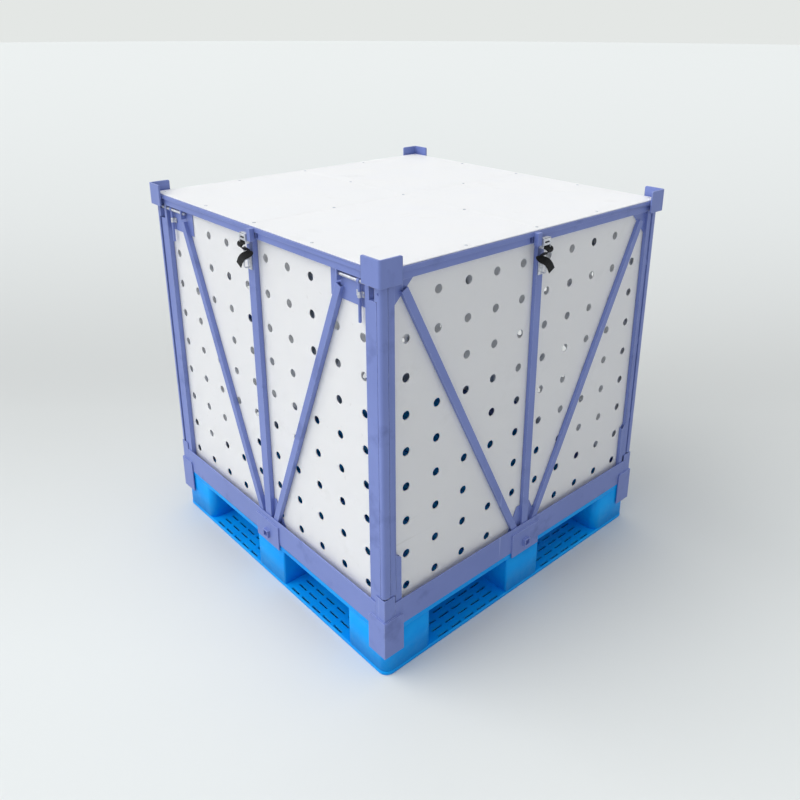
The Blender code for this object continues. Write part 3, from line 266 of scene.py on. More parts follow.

# %% [markdown]
# ## Patterns that the materials share
# Real paint and plastic are never one even colour. Noise read at the piece's own metres gives slow
# fading, fine texture and scratches at a true scale. A Bevel node compares the rounded normal with the
# real one, which finds the edges where paint rubs thin; on the steel the lighter edge is also a painted
# highlight.

# %% Shared patterns
def own_place(tree, stretch=(1, 1, 1)):
    place = add_node(tree, "ShaderNodeTexCoord").outputs["Object"]
    return add_node(tree, "ShaderNodeMapping", {"Vector": place, "Scale": stretch}).outputs["Vector"]


def speckle(tree, per_metre, detail=3.0, stretch=(1, 1, 1)):
    return add_node(tree, "ShaderNodeTexNoise", {
        "Vector": own_place(tree, stretch), "Scale": per_metre, "Detail": detail, "Roughness": 0.6,
    }).outputs["Fac"]


def remap(tree, value, low, high, new_low=0.0, new_high=1.0):
    return add_node(tree, "ShaderNodeMapRange", {
        "Value": value, "From Min": low, "From Max": high, "To Min": new_low, "To Max": new_high,
    }).outputs["Result"]


def mixed(tree, amount, first, second):
    return add_node(tree, "ShaderNodeMix", {0: amount, 6: first, 7: second}, data_type="RGBA").outputs[2]


def times(tree, first, second):
    return add_node(tree, "ShaderNodeMath", {0: first, 1: second}, operation="MULTIPLY").outputs["Value"]


def plus(tree, first, second):
    return add_node(tree, "ShaderNodeMath", {0: first, 1: second}, operation="ADD").outputs["Value"]


def edge_mask(tree, reach):
    rounded = add_node(tree, "ShaderNodeBevel", {"Radius": reach}, samples=4).outputs["Normal"]
    straight = add_node(tree, "ShaderNodeNewGeometry").outputs["Normal"]
    same = add_node(tree, "ShaderNodeVectorMath", {0: rounded, 1: straight}, operation="DOT_PRODUCT")
    return remap(tree, same.outputs["Value"], 0.99, 0.85)


def raise_surface(tree, shader, height, metres, strength=1.0):
    bump = add_node(tree, "ShaderNodeBump", {"Height": height, "Distance": metres, "Strength": strength})
    tree.links.new(bump.outputs["Normal"], shader.inputs["Normal"])


def start_material(name):
    made = bpy.data.materials.new(name)
    made.use_nodes = True
    return made, made.node_tree, made.node_tree.nodes["Principled BSDF"]


# %% [markdown]
# ## Violet-blue paint
# The steel is sprayed with a satin violet-blue enamel. It fades a little in patches, is lighter along
# its edges, partly rubbed paint and partly a painted highlight, picks up thin scratches, and keeps the
# faint orange peel of sprayed paint.

# %% Paint
PAINT = srgb(112, 128, 192)
PAINT_FADED = srgb(122, 138, 201)
# The lighter paint of scratches and rubbed edges; along the edges it also serves as a painted highlight.
PAINT_WORN_AND_HIGHLIGHT = srgb(164, 177, 222)
PAINT_GRIME = srgb(78, 91, 148)

def violet_blue_paint():
    material, tree, shader = start_material("violet_blue_paint")
    fade = remap(tree, speckle(tree, 3.0, 4.0), 0.35, 0.68)
    colour = mixed(tree, fade, PAINT, PAINT_FADED)
    grime = times(tree, remap(tree, speckle(tree, 9.0, 8.0), 0.56, 0.75), 0.55)
    colour = mixed(tree, grime, colour, PAINT_GRIME)
    scratch = times(tree, remap(tree, speckle(tree, 60.0, 2.0, (1, 1, 0.04)), 0.70, 0.74), 0.5)
    colour = mixed(tree, scratch, colour, PAINT_WORN_AND_HIGHLIGHT)
    # Lighter along the edges, broken up by noise: partly rubbed paint, partly a painted highlight where an
    # edge would catch light.
    lighter_edge = times(tree, edge_mask(tree, 0.0025), remap(tree, speckle(tree, 45.0, 5.0), 0.40, 0.60, 0.25, 0.9))
    colour = mixed(tree, lighter_edge, colour, PAINT_WORN_AND_HIGHLIGHT)
    tree.links.new(colour, shader.inputs["Base Color"])
    gloss = plus(tree, remap(tree, fade, 0, 1, 0.34, 0.46), times(tree, grime, 0.35))
    tree.links.new(gloss, shader.inputs["Roughness"])
    peel = plus(tree, times(tree, speckle(tree, 420.0, 2.0), 0.12), speckle(tree, 14.0, 3.0))
    raise_surface(tree, shader, peel, 0.0006, 0.35)
    return material


PAINT_FINISH = violet_blue_paint()

# %% [markdown]
# ## Blue pallet plastic
# The pallet is injection-moulded polyethylene: one strong blue, a slightly pebbled skin, paler where
# forks and corners have scuffed it.

# %% Pallet plastic
PALLET_BLUE = srgb(0, 168, 252)
PALLET_DEEP = srgb(0, 154, 244)
PALLET_SCUFFED = srgb(10, 188, 255)
PALLET_SPECULAR = 0.18

def pallet_plastic():
    material, tree, shader = start_material("blue_pallet_plastic")
    cloud = remap(tree, speckle(tree, 5.0, 4.0), 0.35, 0.65)
    colour = mixed(tree, cloud, PALLET_BLUE, PALLET_DEEP)
    scuff = times(tree, remap(tree, speckle(tree, 70.0, 4.0, (1, 1, 0.15)), 0.64, 0.72), 0.35)
    colour = mixed(tree, scuff, colour, PALLET_SCUFFED)
    lighter_edge = times(tree, edge_mask(tree, 0.004), remap(tree, speckle(tree, 30.0, 4.0), 0.35, 0.6, 0.3, 0.8))
    colour = mixed(tree, lighter_edge, colour, PALLET_SCUFFED)
    tree.links.new(colour, shader.inputs["Base Color"])
    tree.links.new(remap(tree, speckle(tree, 40.0), 0.3, 0.7, 0.38, 0.52), shader.inputs["Roughness"])
    shader.inputs["Specular IOR Level"].default_value = PALLET_SPECULAR
    raise_surface(tree, shader, speckle(tree, 700.0, 2.0), 0.0003, 0.25)
    return material


PALLET_FINISH = pallet_plastic()

# %% [markdown]
# ## White sheet
# Walls and lid are closed with white polypropylene sheet. It is thin enough to let a little light
# through, slightly uneven, and carries grey handling marks and fine scratches.

# %% Sheet plastic
SHEET_WHITE = srgb(252, 252, 249)
SHEET_COOL = srgb(248, 249, 250)
SHEET_MARKED = srgb(230, 230, 227)
SHEET_GLOW = 1.0
SHEET_LIGHT_REACH = 0.0055

def white_sheet():
    material, tree, shader = start_material("white_sheet")
    cloud = remap(tree, speckle(tree, 2.5, 3.0), 0.35, 0.65)
    colour = mixed(tree, cloud, SHEET_WHITE, SHEET_COOL)
    marks = times(tree, remap(tree, speckle(tree, 8.0, 8.0), 0.60, 0.78), 0.5)
    colour = mixed(tree, marks, colour, SHEET_MARKED)
    scratch = times(tree, remap(tree, speckle(tree, 50.0, 2.0, (1, 0.05, 1)), 0.72, 0.75), 0.4)
    colour = mixed(tree, scratch, colour, SHEET_MARKED)
    tree.links.new(colour, shader.inputs["Base Color"])
    tree.links.new(remap(tree, speckle(tree, 18.0, 4.0), 0.3, 0.7, 0.36, 0.55), shader.inputs["Roughness"])
    shader.inputs["Subsurface Weight"].default_value = SHEET_GLOW
    shader.inputs["Subsurface Radius"].default_value = (1.0, 1.0, 1.0)
    shader.inputs["Subsurface Scale"].default_value = SHEET_LIGHT_REACH
    wave = plus(tree, speckle(tree, 3.5, 1.0), times(tree, speckle(tree, 260.0, 2.0), 0.03))
    raise_surface(tree, shader, wave, 0.002, 0.35)
    return material


SHEET_FINISH = white_sheet()

# %% [markdown]
# ## Zinc-plated steel and black webbing
# Bolts, clips, staples and buckles are zinc-plated: grey metal with brushed streaks and dull patches.
# The straps are woven polyester webbing. Its ribs follow the strap, so this material reads the strap's
# own UV map, where U runs across and V runs along in metres.

# %% Zinc
ZINC = srgb(226, 228, 234)
ZINC_DULL = srgb(176, 179, 190)

def zinc_plate():
    material, tree, shader = start_material("zinc_plated_steel")
    patch = remap(tree, speckle(tree, 120.0, 5.0), 0.35, 0.70)
    tree.links.new(mixed(tree, patch, ZINC, ZINC_DULL), shader.inputs["Base Color"])
    streak = speckle(tree, 900.0, 2.0, (0.1, 0.1, 1))
    tree.links.new(remap(tree, plus(tree, patch, streak), 0.4, 1.6, 0.26, 0.52), shader.inputs["Roughness"])
    shader.inputs["Metallic"].default_value = 0.7
    raise_surface(tree, shader, streak, 0.0002, 0.3)
    return material


ZINC_FINISH = zinc_plate()

# %% Webbing
WEBBING_BLACK = srgb(12, 12, 14)
WEBBING_WORN = srgb(30, 30, 34)
WEBBING_RIBS_PER_METRE = 620.0
WEBBING_ROWS = 9.0

def black_webbing():
    material, tree, shader = start_material("black_webbing")
    place = add_node(tree, "ShaderNodeUVMap", uv_map="strap").outputs["UV"]
    parts = add_node(tree, "ShaderNodeSeparateXYZ", {0: place})
    rib_angle = times(tree, parts.outputs["Y"], WEBBING_RIBS_PER_METRE * math.tau)
    row_angle = times(tree, parts.outputs["X"], WEBBING_ROWS * math.tau)
    rib, row = [add_node(tree, "ShaderNodeMath", {0: angle}, operation="SINE").outputs["Value"]
                for angle in (rib_angle, row_angle)]
    weave = times(tree, rib, remap(tree, row, -1, 1, 0.4, 1.0))
    fuzz = speckle(tree, 300.0, 5.0)
    worn = times(tree, remap(tree, weave, 0, 1), remap(tree, fuzz, 0.4, 0.7))
    tree.links.new(mixed(tree, worn, WEBBING_BLACK, WEBBING_WORN), shader.inputs["Base Color"])
    shader.inputs["Roughness"].default_value = 0.82
    shader.inputs["Sheen Weight"].default_value = 0.08
    shader.inputs["Specular IOR Level"].default_value = 0.3
    raise_surface(tree, shader, plus(tree, weave, fuzz), 0.0003, 0.7)
    return material


WEBBING_FINISH = black_webbing()

# %% [markdown]
# ## Pieces
# A finished piece is an object at the origin with its place in its mesh. Each one rides on a body of
# the imported model, gets its finish, and may stand for imported nodes.

# %% Helpers for pieces
BODY_OF = {name: node["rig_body"] for name, node in frame["nodes"].items()}

def finished(name, mesh, material, body, *nodes, smooth=True):
    mesh.name = name
    mesh.materials.clear()
    mesh.materials.append(material)
    for polygon in mesh.polygons:
        polygon.use_smooth = smooth
    piece = bpy.data.objects.new(name, mesh)
    bpy.context.scene.collection.objects.link(piece)
    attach(piece, body)
    if nodes:
        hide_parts(*nodes)
    return piece


def round_edges(piece, width, segments=2, by_weight=False):
    bevel = piece.modifiers.new("rounded_edges", "BEVEL")
    bevel.width = width
    bevel.segments = segments
    bevel.limit_method = "WEIGHT" if by_weight else "ANGLE"
    bevel.angle_limit = math.radians(35)
    bevel.use_clamp_overlap = False
    piece.modifiers.new("even_shading", "WEIGHTED_NORMAL").weight = 100
    return piece


def welded_copy(node):
    """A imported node's mesh with its loose triangles joined."""
    bm = bmesh.new()
    bm.from_mesh(frame["nodes"][node].data)
    bmesh.ops.remove_doubles(bm, verts=bm.verts, dist=1e-5)
    mesh = bpy.data.meshes.new(node)
    bm.to_mesh(mesh)
    bm.free()
    return mesh


# %% [markdown]
# ## Painted steel
# Angle iron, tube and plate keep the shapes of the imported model. Cut and folded steel never has a
# knife-sharp edge, though, and a sharp edge catches no light. Each painted node is copied, its loose
# triangles are joined, and a Bevel modifier rounds the edges by under a millimetre.

# %% Round the painted steel
STEEL_EDGE = 0.0005
painted_nodes = [name for name in sorted(frame["nodes"])
                 if name.startswith("rim_") or name.startswith("base_corner") or "corner_post" in name
                 or name.endswith("wall_frame") or name == "lid_frame"
                 or name.startswith("lid_buckle_lug")]
for name in painted_nodes:
    round_edges(finished(name + "_painted", welded_copy(name), PAINT_FINISH, BODY_OF[name], name), STEEL_EDGE)
print("painted pieces:", len(painted_nodes))

# %% [markdown]
# ## Stacking brackets
# Each lid corner carries a plate folded to an angle. Folding leaves a small radius at the bend, and the
# free upper corners are rounded so that they don't catch. The plate is laid out along its bend in
# steps, each step a column from its lower to its upper edge, front and back.

# %% Fold the brackets
BRACKET_BEND = 0.007
BRACKET_CORNER = 0.005
BRACKET_EDGE = 0.0006
BRACKET_PLATE = 0.005

def bend_stations(flange, bend, corner):
    """Distances along one leg from its free end, close together where the free corner is round."""
    rounded = [corner * (1 - math.cos(math.radians(15 * step))) for step in range(7)]
    return rounded + [flange - bend]


def folded_plate(outer, flange, plate, bottom, top, bend, corner):
    """An upright plate folded round the +X, -Y corner."""
    columns = []
    for distance in bend_stations(flange, bend, corner):
        drop = corner - math.sqrt(max(corner ** 2 - max(corner - distance, 0) ** 2, 0))
        columns.append((Vector((outer - flange + distance, -outer)), Vector((0, 1)), top - drop))
    middle = Vector((outer - bend, -outer + bend))
    for step in range(1, 8):
        angle = math.radians(-90 + 90 * step / 8)
        ray = Vector((math.cos(angle), math.sin(angle)))
        columns.append((middle + ray * bend, -ray, top))
    first_leg = columns[:len(bend_stations(flange, bend, corner))]
    for place, inwards, height in reversed(first_leg):
        columns.append((Vector((-place.y, -place.x)), Vector((-inwards.y, -inwards.x)), height))
    bm = bmesh.new()
    rings = []
    for place, inwards, height in columns:
        inner = place + inwards * plate
        rings.append([bm.verts.new((*spot, z)) for spot, z in
                      ((place, bottom), (inner, bottom), (inner, height), (place, height))])
    for near, far in zip(rings, rings[1:]):
        for side in range(4):
            bm.faces.new((near[side], near[(side + 1) % 4], far[(side + 1) % 4], far[side]))
    bm.faces.new(rings[0])
    bm.faces.new(rings[-1])
    bmesh.ops.recalc_face_normals(bm, faces=bm.faces)
    mesh = bpy.data.meshes.new("folded_plate")
    bm.to_mesh(mesh)
    bm.free()
    return mesh


for name in sorted(frame["nodes"]):
    if name.startswith("lid_bracket"):
        low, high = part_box(name)
        reach = max(abs(low.x), abs(high.x))
        mesh = folded_plate(reach, high.x - low.x, BRACKET_PLATE, low.z, high.z, BRACKET_BEND, BRACKET_CORNER)
        x_sign, y_sign = math.copysign(1, low.x + high.x), math.copysign(1, low.y + high.y)
        mesh.transform(Matrix.Diagonal((x_sign, -y_sign, 1, 1)))
        if x_sign * -y_sign < 0:
            mesh.flip_normals()
        round_edges(finished(name + "_folded", mesh, PAINT_FINISH, BODY_OF[name], name), BRACKET_EDGE)

# %% [markdown]
# ## Geometry Nodes
# Holes, slots, rivets and weld beads repeat, so Geometry Nodes make them. Each tree gets named inputs
# for its sizes. A carrier object grows the result, which is turned into a plain mesh and then placed.

# %% Helpers for Geometry Nodes
KINDS = {float: "NodeSocketFloat", int: "NodeSocketInt"}
SAME_PLACE = 1e-5

def start_tree(name, **sizes):
    tree = bpy.data.node_groups.new(name, "GeometryNodeTree")
    tree.interface.new_socket("Geometry", in_out="INPUT", socket_type="NodeSocketGeometry")
    for label, value in sizes.items():
        socket = tree.interface.new_socket(label, in_out="INPUT", socket_type=KINDS[type(value)])
        socket.default_value = value
    tree.interface.new_socket("Finish", in_out="INPUT", socket_type="NodeSocketMaterial")
    tree.interface.new_socket("Geometry", in_out="OUTPUT", socket_type="NodeSocketGeometry")
    return tree, add_node(tree, "NodeGroupInput").outputs


def end_tree(tree, inputs, geometry):
    """Every tree ends in real geometry with its finish set."""
    real = add_node(tree, "GeometryNodeRealizeInstances", {"Geometry": geometry}).outputs["Geometry"]
    painted = add_node(tree, "GeometryNodeSetMaterial", {"Geometry": real, "Material": inputs["Finish"]})
    add_node(tree, "NodeGroupOutput", {"Geometry": painted.outputs["Geometry"]})


def grow(tree, finish, base=None, **sizes):
    """Runs a tree on a carrier object and returns the plain mesh that it makes."""
    carrier = bpy.data.objects.new("carrier", base or bpy.data.meshes.new("empty"))
    bpy.context.scene.collection.objects.link(carrier)
    run = carrier.modifiers.new("grow", "NODES")
    run.node_group = tree
    for item in tree.interface.items_tree:
        if item.in_out == "INPUT" and item.name in sizes:
            run[item.identifier] = sizes[item.name]
        if item.in_out == "INPUT" and item.name == "Finish":
            run[item.identifier] = finish
    graph = bpy.context.evaluated_depsgraph_get()
    mesh = bpy.data.meshes.new_from_object(carrier.evaluated_get(graph))
    bpy.data.objects.remove(carrier)
    return mesh


def maths(tree, operation, first, second):
    return add_node(tree, "ShaderNodeMath", {0: first, 1: second}, operation=operation).outputs["Value"]


def triple(tree, x=0.0, y=0.0, z=0.0):
    return add_node(tree, "ShaderNodeCombineXYZ", {"X": x, "Y": y, "Z": z}).outputs["Vector"]


def shifted(tree, geometry, place, turn=None, scale=None):
    inputs = {"Geometry": geometry, "Translation": place}
    if turn is not None:
        inputs["Rotation"] = turn
    if scale is not None:
        inputs["Scale"] = scale
    return add_node(tree, "GeometryNodeTransform", inputs).outputs["Geometry"]


def together(tree, *geometries):
    join = add_node(tree, "GeometryNodeJoinGeometry")
    for geometry in geometries:
        tree.links.new(geometry, join.inputs[0])
    return join.outputs["Geometry"]


def thick_plate(tree, outlines, thickness):
    """Fills outlines, holes left out, and gives the plate its thickness with a closed underside."""
    real = add_node(tree, "GeometryNodeRealizeInstances", {"Geometry": outlines}).outputs["Geometry"]
    face = add_node(tree, "GeometryNodeFillCurve", {"Curve": real}, mode="NGONS").outputs["Mesh"]
    raised = add_node(tree, "GeometryNodeExtrudeMesh", {
        "Mesh": face, "Offset": (0, 0, 1), "Offset Scale": thickness, "Individual": False}).outputs["Mesh"]
    under = add_node(tree, "GeometryNodeFlipFaces", {"Mesh": face}).outputs["Mesh"]
    both = together(tree, raised, under)
    welded = add_node(tree, "GeometryNodeMergeByDistance", {"Geometry": both, "Distance": SAME_PLACE})
    return welded.outputs["Geometry"]


# %% [markdown]
# ## Perforated wall sheets
# Each wall has a grid of round ventilation holes, ten across and nine up. The tree fills one rectangle
# with a circle at every point of a grid, so the holes are real and the inside shows through them.

# %% Tree of the perforated sheet
def perforated_sheet_tree():
    tree, size = start_tree("perforated_sheet", Width=1.0, Height=1.0, Thickness=0.0025, HoleDiameter=0.024,
                            HoleSides=28, Columns=10, Rows=9, ColumnPitch=0.1, RowPitch=0.1, GridMiddle=0.0)
    outline = add_node(tree, "GeometryNodeCurvePrimitiveQuadrilateral",
                       {"Width": size["Width"], "Height": size["Height"]}).outputs["Curve"]
    grid = add_node(tree, "GeometryNodeMeshGrid", {
        "Size X": maths(tree, "MULTIPLY", maths(tree, "SUBTRACT", size["Columns"], 1.0), size["ColumnPitch"]),
        "Size Y": maths(tree, "MULTIPLY", maths(tree, "SUBTRACT", size["Rows"], 1.0), size["RowPitch"]),
        "Vertices X": size["Columns"], "Vertices Y": size["Rows"]}).outputs["Mesh"]
    grid = shifted(tree, grid, triple(tree, y=size["GridMiddle"]))
    hole = add_node(tree, "GeometryNodeCurvePrimitiveCircle", {
        "Resolution": size["HoleSides"], "Radius": maths(tree, "DIVIDE", size["HoleDiameter"], 2.0)})
    holes = add_node(tree, "GeometryNodeInstanceOnPoints", {
        "Points": grid, "Instance": hole.outputs["Curve"]})
    plate = thick_plate(tree, together(tree, outline, holes.outputs["Instances"]), size["Thickness"])
    end_tree(tree, size, plate)
    return tree


SHEET_TREE = perforated_sheet_tree()

# %% Hang the sheets in the walls
QUARTERS = {"front": 0, "right": 1, "back": 2, "left": 3}
RIM_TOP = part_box("rim_front")[1].z
HOLE_DIAMETER = 0.024
HOLE_COLUMNS, HOLE_ROWS = 10, 9
HOLE_COLUMN_PITCH, HOLE_ROW_PITCH = 0.103, 0.100
FIRST_HOLE_Z = RIM_TOP + 0.020
STAND_UP = Matrix.Rotation(math.pi / 2, 4, "X")

def side_turn(side):
    """The turn that takes the front wall's place to another side."""
    return Matrix.Rotation(math.pi / 2 * QUARTERS[side], 4, "Z")


def wall_box(node, side):
    """A node's lowest and highest corner as if its wall were the front one."""
    corners = [side_turn(side).inverted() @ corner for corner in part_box(node)]
    return Vector(map(min, *corners)), Vector(map(max, *corners))


for side in QUARTERS:
    node = side + "_wall_panel"
    low, high = wall_box(node, side)
    middle = (low + high) / 2
    rows_middle = FIRST_HOLE_Z + (HOLE_ROWS - 1) * HOLE_ROW_PITCH / 2
    mesh = grow(SHEET_TREE, SHEET_FINISH, Width=high.x - low.x, Height=high.z - low.z,
                Thickness=high.y - low.y, HoleDiameter=HOLE_DIAMETER, Columns=HOLE_COLUMNS, Rows=HOLE_ROWS,
                ColumnPitch=HOLE_COLUMN_PITCH, RowPitch=HOLE_ROW_PITCH, GridMiddle=rows_middle - middle.z)
    mesh.transform(side_turn(side) @ Matrix.Translation((0, high.y, middle.z)) @ STAND_UP)
    finished(node + "_perforated", mesh, SHEET_FINISH, BODY_OF[node], node, smooth=False)
    print(node, "holes:", HOLE_COLUMNS * HOLE_ROWS, "faces:", len(mesh.polygons))

# %% [markdown]
# ## The pallet
# A moulded pallet is two decks on nine blocks. The bottom deck has rows of slots along each edge and four
# windows for the wheels of a pallet truck, and the top deck is a lattice that drains. One tree draws a
# deck with its slots and windows, and the blocks are rounded boxes between the decks.

# %% Tree of a slotted deck
def rounded_slot(tree, length, width):
    box = add_node(tree, "GeometryNodeCurvePrimitiveQuadrilateral", {"Width": length, "Height": width})
    return add_node(tree, "GeometryNodeFilletCurve", {
        "Curve": box.outputs["Curve"], "Radius": maths(tree, "MULTIPLY", width, 0.46), "Count": 3},
        mode="POLY").outputs["Curve"]


def slot_grid(tree, slot, columns, rows, pitch, row_pitch):
    grid = add_node(tree, "GeometryNodeMeshGrid", {
        "Size X": maths(tree, "MULTIPLY", maths(tree, "SUBTRACT", columns, 1.0), pitch),
        "Size Y": maths(tree, "MULTIPLY", maths(tree, "SUBTRACT", rows, 1.0), row_pitch),
        "Vertices X": columns, "Vertices Y": rows}).outputs["Mesh"]
    slots = add_node(tree, "GeometryNodeInstanceOnPoints", {"Points": grid, "Instance": slot})
    return slots.outputs["Instances"]


def deck_outline(tree, side, radius):
    square = add_node(tree, "GeometryNodeCurvePrimitiveQuadrilateral", {"Width": side, "Height": side})
    return add_node(tree, "GeometryNodeFilletCurve", {
        "Curve": square.outputs["Curve"], "Radius": radius, "Count": 8}, mode="POLY").outputs["Curve"]


def bottom_deck_tree():
    tree, size = start_tree("bottom_deck", Side=1.1, CornerRadius=0.028, Thickness=0.012, SlotLength=0.04,
                            SlotWidth=0.008, SlotPitch=0.05, RowPitch=0.026, SlotsInRow=5, Rows=5,
                            StretchMiddle=0.22, RowsMiddle=0.49, WindowSide=0.3)
    slot = rounded_slot(tree, size["SlotLength"], size["SlotWidth"])
    stretch = slot_grid(tree, slot, size["SlotsInRow"], size["Rows"], size["SlotPitch"], size["RowPitch"])
    middles = [maths(tree, "MULTIPLY", size["StretchMiddle"], sign) for sign in (-1.0, 1.0)]
    pair = together(tree, *[
        shifted(tree, stretch, triple(tree, middle, size["RowsMiddle"])) for middle in middles])
    edges = [shifted(tree, pair, triple(tree), triple(tree, z=quarter * math.pi / 2))
             for quarter in range(4)]
    window = add_node(tree, "GeometryNodeCurvePrimitiveQuadrilateral",
                      {"Width": size["WindowSide"], "Height": size["WindowSide"]}).outputs["Curve"]
    windows = slot_grid(tree, window, 2, 2, maths(tree, "MULTIPLY", size["StretchMiddle"], 2.0),
                        maths(tree, "MULTIPLY", size["StretchMiddle"], 2.0))
    outline = deck_outline(tree, size["Side"], size["CornerRadius"])
    end_tree(tree, size, thick_plate(tree, together(tree, outline, windows, *edges), size["Thickness"]))
    return tree


def top_deck_tree():
    tree, size = start_tree("top_deck", Side=1.1, CornerRadius=0.028, Thickness=0.018, SlotLength=0.09,
                            SlotWidth=0.014, SlotPitch=0.11, RowPitch=0.028, SlotsInRow=9, Rows=36)
    slot = rounded_slot(tree, size["SlotLength"], size["SlotWidth"])
    slots = slot_grid(tree, slot, size["SlotsInRow"], size["Rows"], size["SlotPitch"], size["RowPitch"])
    outline = deck_outline(tree, size["Side"], size["CornerRadius"])
    end_tree(tree, size, thick_plate(tree, together(tree, outline, slots), size["Thickness"]))
    return tree


# %% Decks and blocks
PALLET_LOW, PALLET_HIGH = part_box("pallet")
PALLET_SIDE = PALLET_HIGH.x - PALLET_LOW.x
PALLET_TOP = PALLET_HIGH.z
PALLET_CORNER = 0.028
BOTTOM_DECK, TOP_DECK = 0.012, 0.018
CORNER_BLOCK, MIDDLE_BLOCK = 0.173, 0.146
BLOCK_INSET = 0.001
BLOCK_EDGE = 0.006
SLOT_LENGTH, SLOT_WIDTH, SLOT_PITCH, SLOT_ROW_PITCH = 0.040, 0.0075, 0.0525, 0.026
SLOTS_IN_ROW, SLOT_ROWS = 5, 5
WINDOW_MARGIN = 0.006
DECK_EDGE = 0.0025
SLOT_EDGE_DISTANCE = 0.0085

def deck_piece(mesh, z):
    """A grown deck at its height, its outer edges marked for rounding."""
    mesh.transform(Matrix.Translation((0, 0, z)))
    weights = mesh.attributes.new("bevel_weight_edge", "FLOAT", "EDGE")
    reach = PALLET_SIDE / 2 - PALLET_CORNER
    for edge in mesh.edges:
        ends = [mesh.vertices[index].co for index in edge.vertices]
        level = abs(ends[0].z - ends[1].z) < 1e-6
        outside = all(max(abs(end.x), abs(end.y)) > PALLET_SIDE / 2 - 1e-4 or
                      (abs(end.x) > reach and abs(end.y) > reach) for end in ends)
        weights.data[edge.index].value = 1.0 if level and outside else 0.0
    return mesh


def block(x, y, z, radius):
    """An upright block with rounded corners, between two decks."""
    bm = bmesh.new()
    ring = []
    for quarter, (cx, cy) in enumerate(((x[1], y[1]), (x[0], y[1]), (x[0], y[0]), (x[1], y[0]))):
        sx, sy = (1, -1, -1, 1)[quarter], (1, 1, -1, -1)[quarter]
        for step in range(7):
            angle = math.radians(90 * quarter + 15 * step)
            ring.append((cx - sx * radius + radius * math.cos(angle),
                         cy - sy * radius + radius * math.sin(angle)))
    low = [bm.verts.new((px, py, z[0])) for px, py in ring]
    high = [bm.verts.new((px, py, z[1])) for px, py in ring]
    bm.faces.new(reversed(low))
    bm.faces.new(high)
    for index in range(len(ring)):
        after = (index + 1) % len(ring)
        bm.faces.new((low[index], low[after], high[after], high[index]))
    mesh = bpy.data.meshes.new("block")
    bm.to_mesh(mesh)
    bm.free()
    return mesh


def merged(meshes):
    bm = bmesh.new()
    for mesh in meshes:
        bm.from_mesh(mesh)
    whole = bpy.data.meshes.new("merged")
    bm.to_mesh(whole)
    bm.free()
    return whole


half = PALLET_SIDE / 2
pocket_near, pocket_far = MIDDLE_BLOCK / 2, half - CORNER_BLOCK
pocket_middle = (pocket_near + pocket_far) / 2
rows_depth = (SLOT_ROWS - 1) * SLOT_ROW_PITCH
bottom = grow(bottom_deck_tree(), PALLET_FINISH, Side=PALLET_SIDE, CornerRadius=PALLET_CORNER,
              Thickness=BOTTOM_DECK, SlotLength=SLOT_LENGTH, SlotWidth=SLOT_WIDTH, SlotPitch=SLOT_PITCH,
              RowPitch=SLOT_ROW_PITCH, SlotsInRow=SLOTS_IN_ROW, Rows=SLOT_ROWS, StretchMiddle=pocket_middle,
              RowsMiddle=half - SLOT_EDGE_DISTANCE - rows_depth / 2,
              WindowSide=pocket_far - pocket_near - WINDOW_MARGIN)
top = grow(top_deck_tree(), PALLET_FINISH, Side=PALLET_SIDE, CornerRadius=PALLET_CORNER,
           Thickness=TOP_DECK)
finished("pallet_bottom_deck", deck_piece(bottom, PALLET_LOW.z), PALLET_FINISH, "base", "pallet",
         smooth=False)
finished("pallet_top_deck", deck_piece(top, PALLET_TOP - TOP_DECK), PALLET_FINISH, "base", "pallet",
         smooth=False)
levels = (BOTTOM_DECK / 2, PALLET_TOP - TOP_DECK / 2)
face = half - BLOCK_INSET
spans = {-1: (-face, -pocket_far), 0: (-pocket_near, pocket_near), 1: (pocket_far, face)}
blocks = [block(spans[x], spans[y], levels, PALLET_CORNER - BLOCK_INSET if x and y else BLOCK_EDGE)
          for x in spans for y in spans]
finished("pallet_blocks", merged(blocks), PALLET_FINISH, "base", "pallet")
for name in ("pallet_bottom_deck", "pallet_top_deck"):
    round_edges(bpy.data.objects[name], DECK_EDGE, by_weight=True)
print("pallet faces:", len(bottom.polygons), len(top.polygons))

# %% [markdown]
# ## The lid's sheets and rivets
# Four white sheets lie on the lid's flat rails, with a thin seam between them, and blind rivets hold
# them down along the seams and edges. The tree puts a low domed head on a flange at each grid point
# that has a rail under it.

